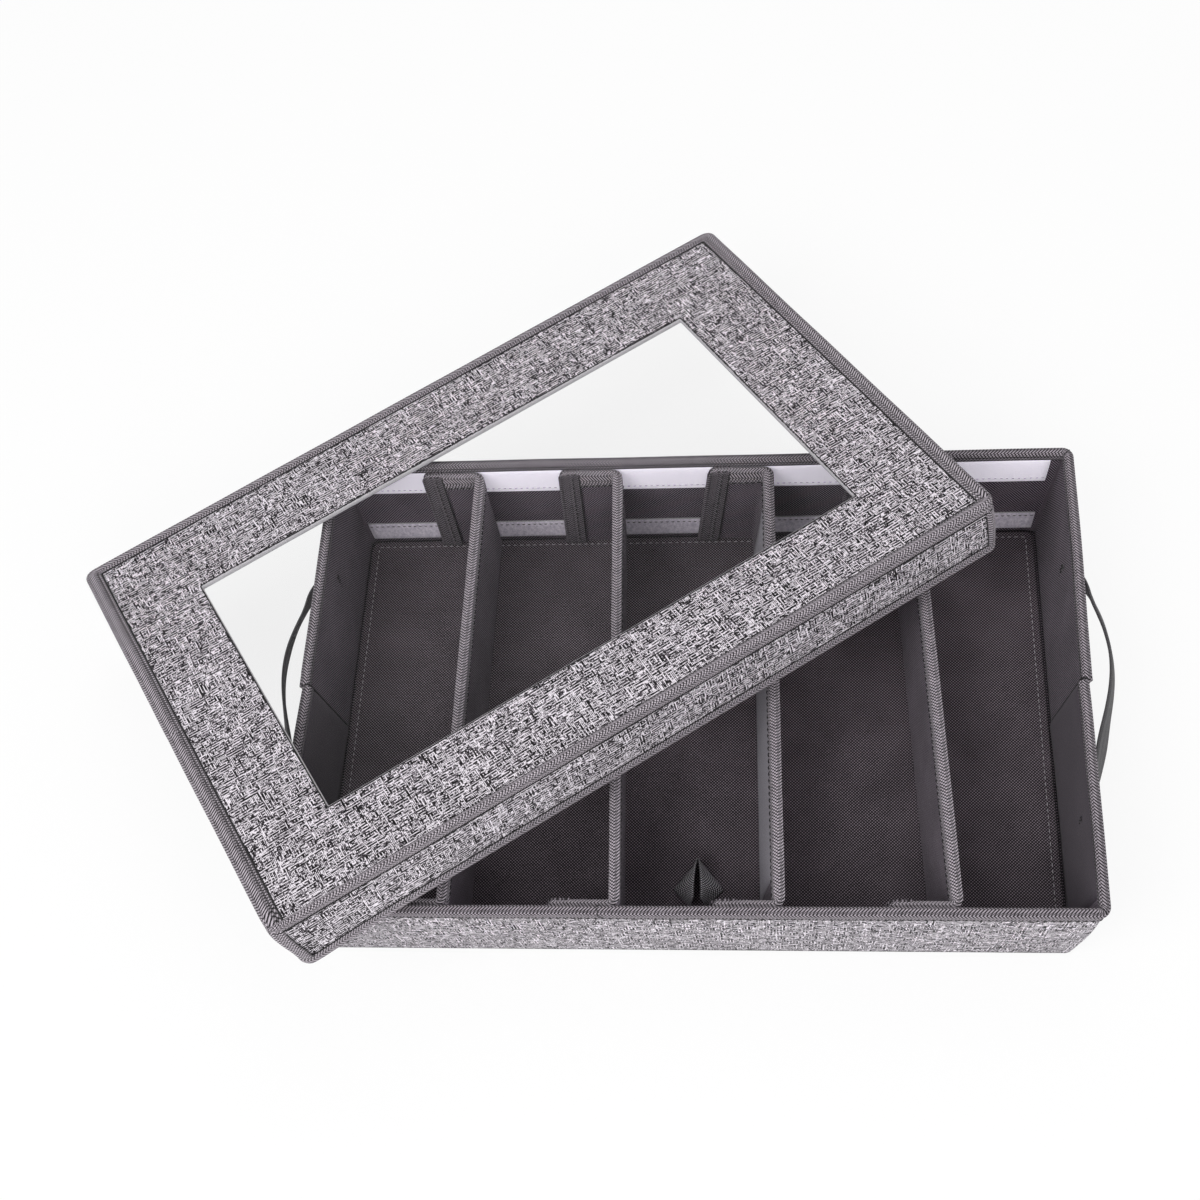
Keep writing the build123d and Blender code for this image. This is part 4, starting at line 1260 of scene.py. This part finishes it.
# the clear window, slightly wavy where it is sewn in
sheetLook = dict(margin=9.6, wave=0.84, fineness=1.2, low=38.02, high=38.38)
low, high = windowLow - sheetLook["margin"], windowHigh + sheetLook["margin"]
size = high - low
plan = spread(np.linspace(low[0], high[0], 70), np.linspace(low[1], high[1], 44))
x, y = np.moveaxis(plan, 2, 0)
inside = smooth(np.minimum(plan - low, high - plan).min(2), 9, 30)
ripple = sheetLook["wave"] * wave(x * sheetLook["fineness"], y * sheetLook["fineness"], 11.0) * inside
sheet = ClothMesh()
sheet.slab(column(x, y, sheetLook["high"] + ripple), column(x, y, sheetLook["low"] + ripple), plan)
windowPiece = settle(sheet, "lid_clear_window", "clear", "lid", "clear_sheet", "lid_window_sheet", turn=toLid)
size[0] * millimetre
size[1] * millimetre

# dark seams along the lid's tapes and round the window; along the tapes' edges they are also painted shade, where a
# tape's edge stands over the linen
thick, thin = Threads(lidLook["tapeSeam"]), Threads(lidLook["thinSeam"])
thick.line(lidRing(lidLook["topFace"] + 0.2, 40.55), closed=True)
thick.line(lidRing(-0.15, lidLook["sideFace"] - 0.3), closed=True)
thin.line(lidRing(-0.15, lidLook["hemFace"] + 0.3), closed=True)
thin.line(windowRing(0.5, 40.5), closed=True)
settle(thick, "lid_tape_seams", "darkThread", "lid", "edge_tape", turn=tapeWidths)
settle(thin, "lid_stitches", "darkThread", "lid", "edge_tape", turn=softLid)
print("lid made")

# CAD nodes that stay as they are, hidden inside the cloth or under it
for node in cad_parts:
    name = node if isinstance(node, str) else node["name"]
    thing = bpy.data.objects.get(name)
    if thing is None or thing.hide_render:
        continue
    for slot in thing.material_slots:
        slot.material = looks["lining" if name == "bottom_cover" else "board"]
    print("kept", name)

# camera, floor and lights
cameraLook = dict(
    lens=56.234, sensor=36.0, far=20.0, turns=((0.218894, "Z"), (0.548366, "X"), (-0.200842, "Z")),
    place=(0.070903, -0.492090, 0.973945),
)
cameraData = bpy.data.cameras.new("camera")
cameraData.lens = cameraLook["lens"]
cameraData.sensor_width = cameraLook["sensor"]
cameraData.clip_end = cameraLook["far"]
camera = bpy.data.objects.new("camera", cameraData)
bpy.context.scene.collection.objects.link(camera)
first, second, third = (Matrix.Rotation(angle, 3, axis) for angle, axis in cameraLook["turns"])
camera.matrix_world = Matrix.Translation(cameraLook["place"]) @ (first @ second @ third).to_4x4()
bpy.context.scene.camera = camera


def makeFloor():
    sheet = bpy.data.meshes.new("studio_floor")
    form = bmesh.new()
    bmesh.ops.create_grid(form, x_segments=24, y_segments=24, size=stageLook["floorSize"])
    form.to_mesh(sheet)
    form.free()
    floor = bpy.data.objects.new("studio_floor", sheet)
    floor.location.z = -stageLook["below"]
    bpy.context.scene.collection.objects.link(floor)
    s = Shader("studio floor")
    grain = s.noise(s.place(), 0.02, 2.0)
    s.finish(s.mix(grain, (0.93, 0.93, 0.93), (0.95, 0.95, 0.95)), 0.9, 0.0, 0.0)
    # seen directly, the floor is lifted to white, and keeps part of the shadow
    camera, through, glossy = (
        s.node("LightPath", output=f"Is {kind} Ray") for kind in ("Camera", "Transmission", "Glossy")
    )
    share = s.math("MAXIMUM", s.math("MAXIMUM", camera, through), glossy) * stageLook["lifted"]
    lifted = s.node("MixShader", (share, Wire(s, s.surface.outputs[0]), s.node("Emission")))
    s.put(s.nodes["Material Output"].inputs["Surface"], lifted)
    sheet.materials.append(s.material)
    floor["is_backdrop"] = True


# where each lamp stands, where it points, its size and its power
lamps = dict(
    key_light=((-1.0, -1.1, 1.8), (0.0, 0.0, 0.03), 1.5, 22.0),
    front_light=((0.3, -1.6, 1.25), (0.05, 0.1, 0.05), 1.2, 10.0),
    fill_light=((1.6, -0.9, 1.6), (0.0, 0.0, 0.05), 1.8, 6.0),
    back_light=((0.1, 1.3, 2.0), (0.0, 0.0, 0.05), 1.6, 6.0),
)
stageLook = dict(floorSize=4.0, below=0.0004, lifted=0.86, light=0.5)


def addLamp(name, place, aim, size, power):
    data = bpy.data.lights.new(name, "AREA")
    data.shape = "DISK"
    data.size = size
    data.energy = power
    lamp = bpy.data.objects.new(name, data)
    bpy.context.scene.collection.objects.link(lamp)
    place, aim = Vector(place), Vector(aim)
    lamp.matrix_world = Matrix.Translation(place) @ (aim - place).to_track_quat("-Z", "Y").to_matrix().to_4x4()


def makeWorld():
    # white where it is seen, and a softer light on the object
    world = bpy.data.worlds.new("studio")
    bpy.context.scene.world = world
    world.use_nodes = True
    nodes, links = world.node_tree.nodes, world.node_tree.links
    background = nodes["Background"]
    background.inputs["Color"].default_value = (1.0, 1.0, 1.0, 1.0)
    background.inputs["Strength"].default_value = stageLook["light"]
    seen, ray, choice = (nodes.new("ShaderNode" + kind) for kind in ("Background", "LightPath", "MixShader"))
    either = nodes.new("ShaderNodeMath")
    either.operation = "MAXIMUM"
    for source, target in (
        (ray.outputs["Is Camera Ray"], either.inputs[0]), (ray.outputs["Is Transmission Ray"], either.inputs[1]),
        (either.outputs[0], choice.inputs[0]), (background.outputs[0], choice.inputs[1]),
        (seen.outputs[0], choice.inputs[2]), (choice.outputs[0], nodes["World Output"].inputs["Surface"]),
    ):
        links.new(source, target)


makeFloor()
for name, values in lamps.items():
    addLamp(name, *values)
makeWorld()
bpy.context.scene.view_settings.view_transform = "Standard"
print("stage made")

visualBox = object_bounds()
asNumbers = lambda box: [list(map(float, corner)) for corner in box]
{"cad": asNumbers(cadBox), "visual": asNumbers(visualBox)}
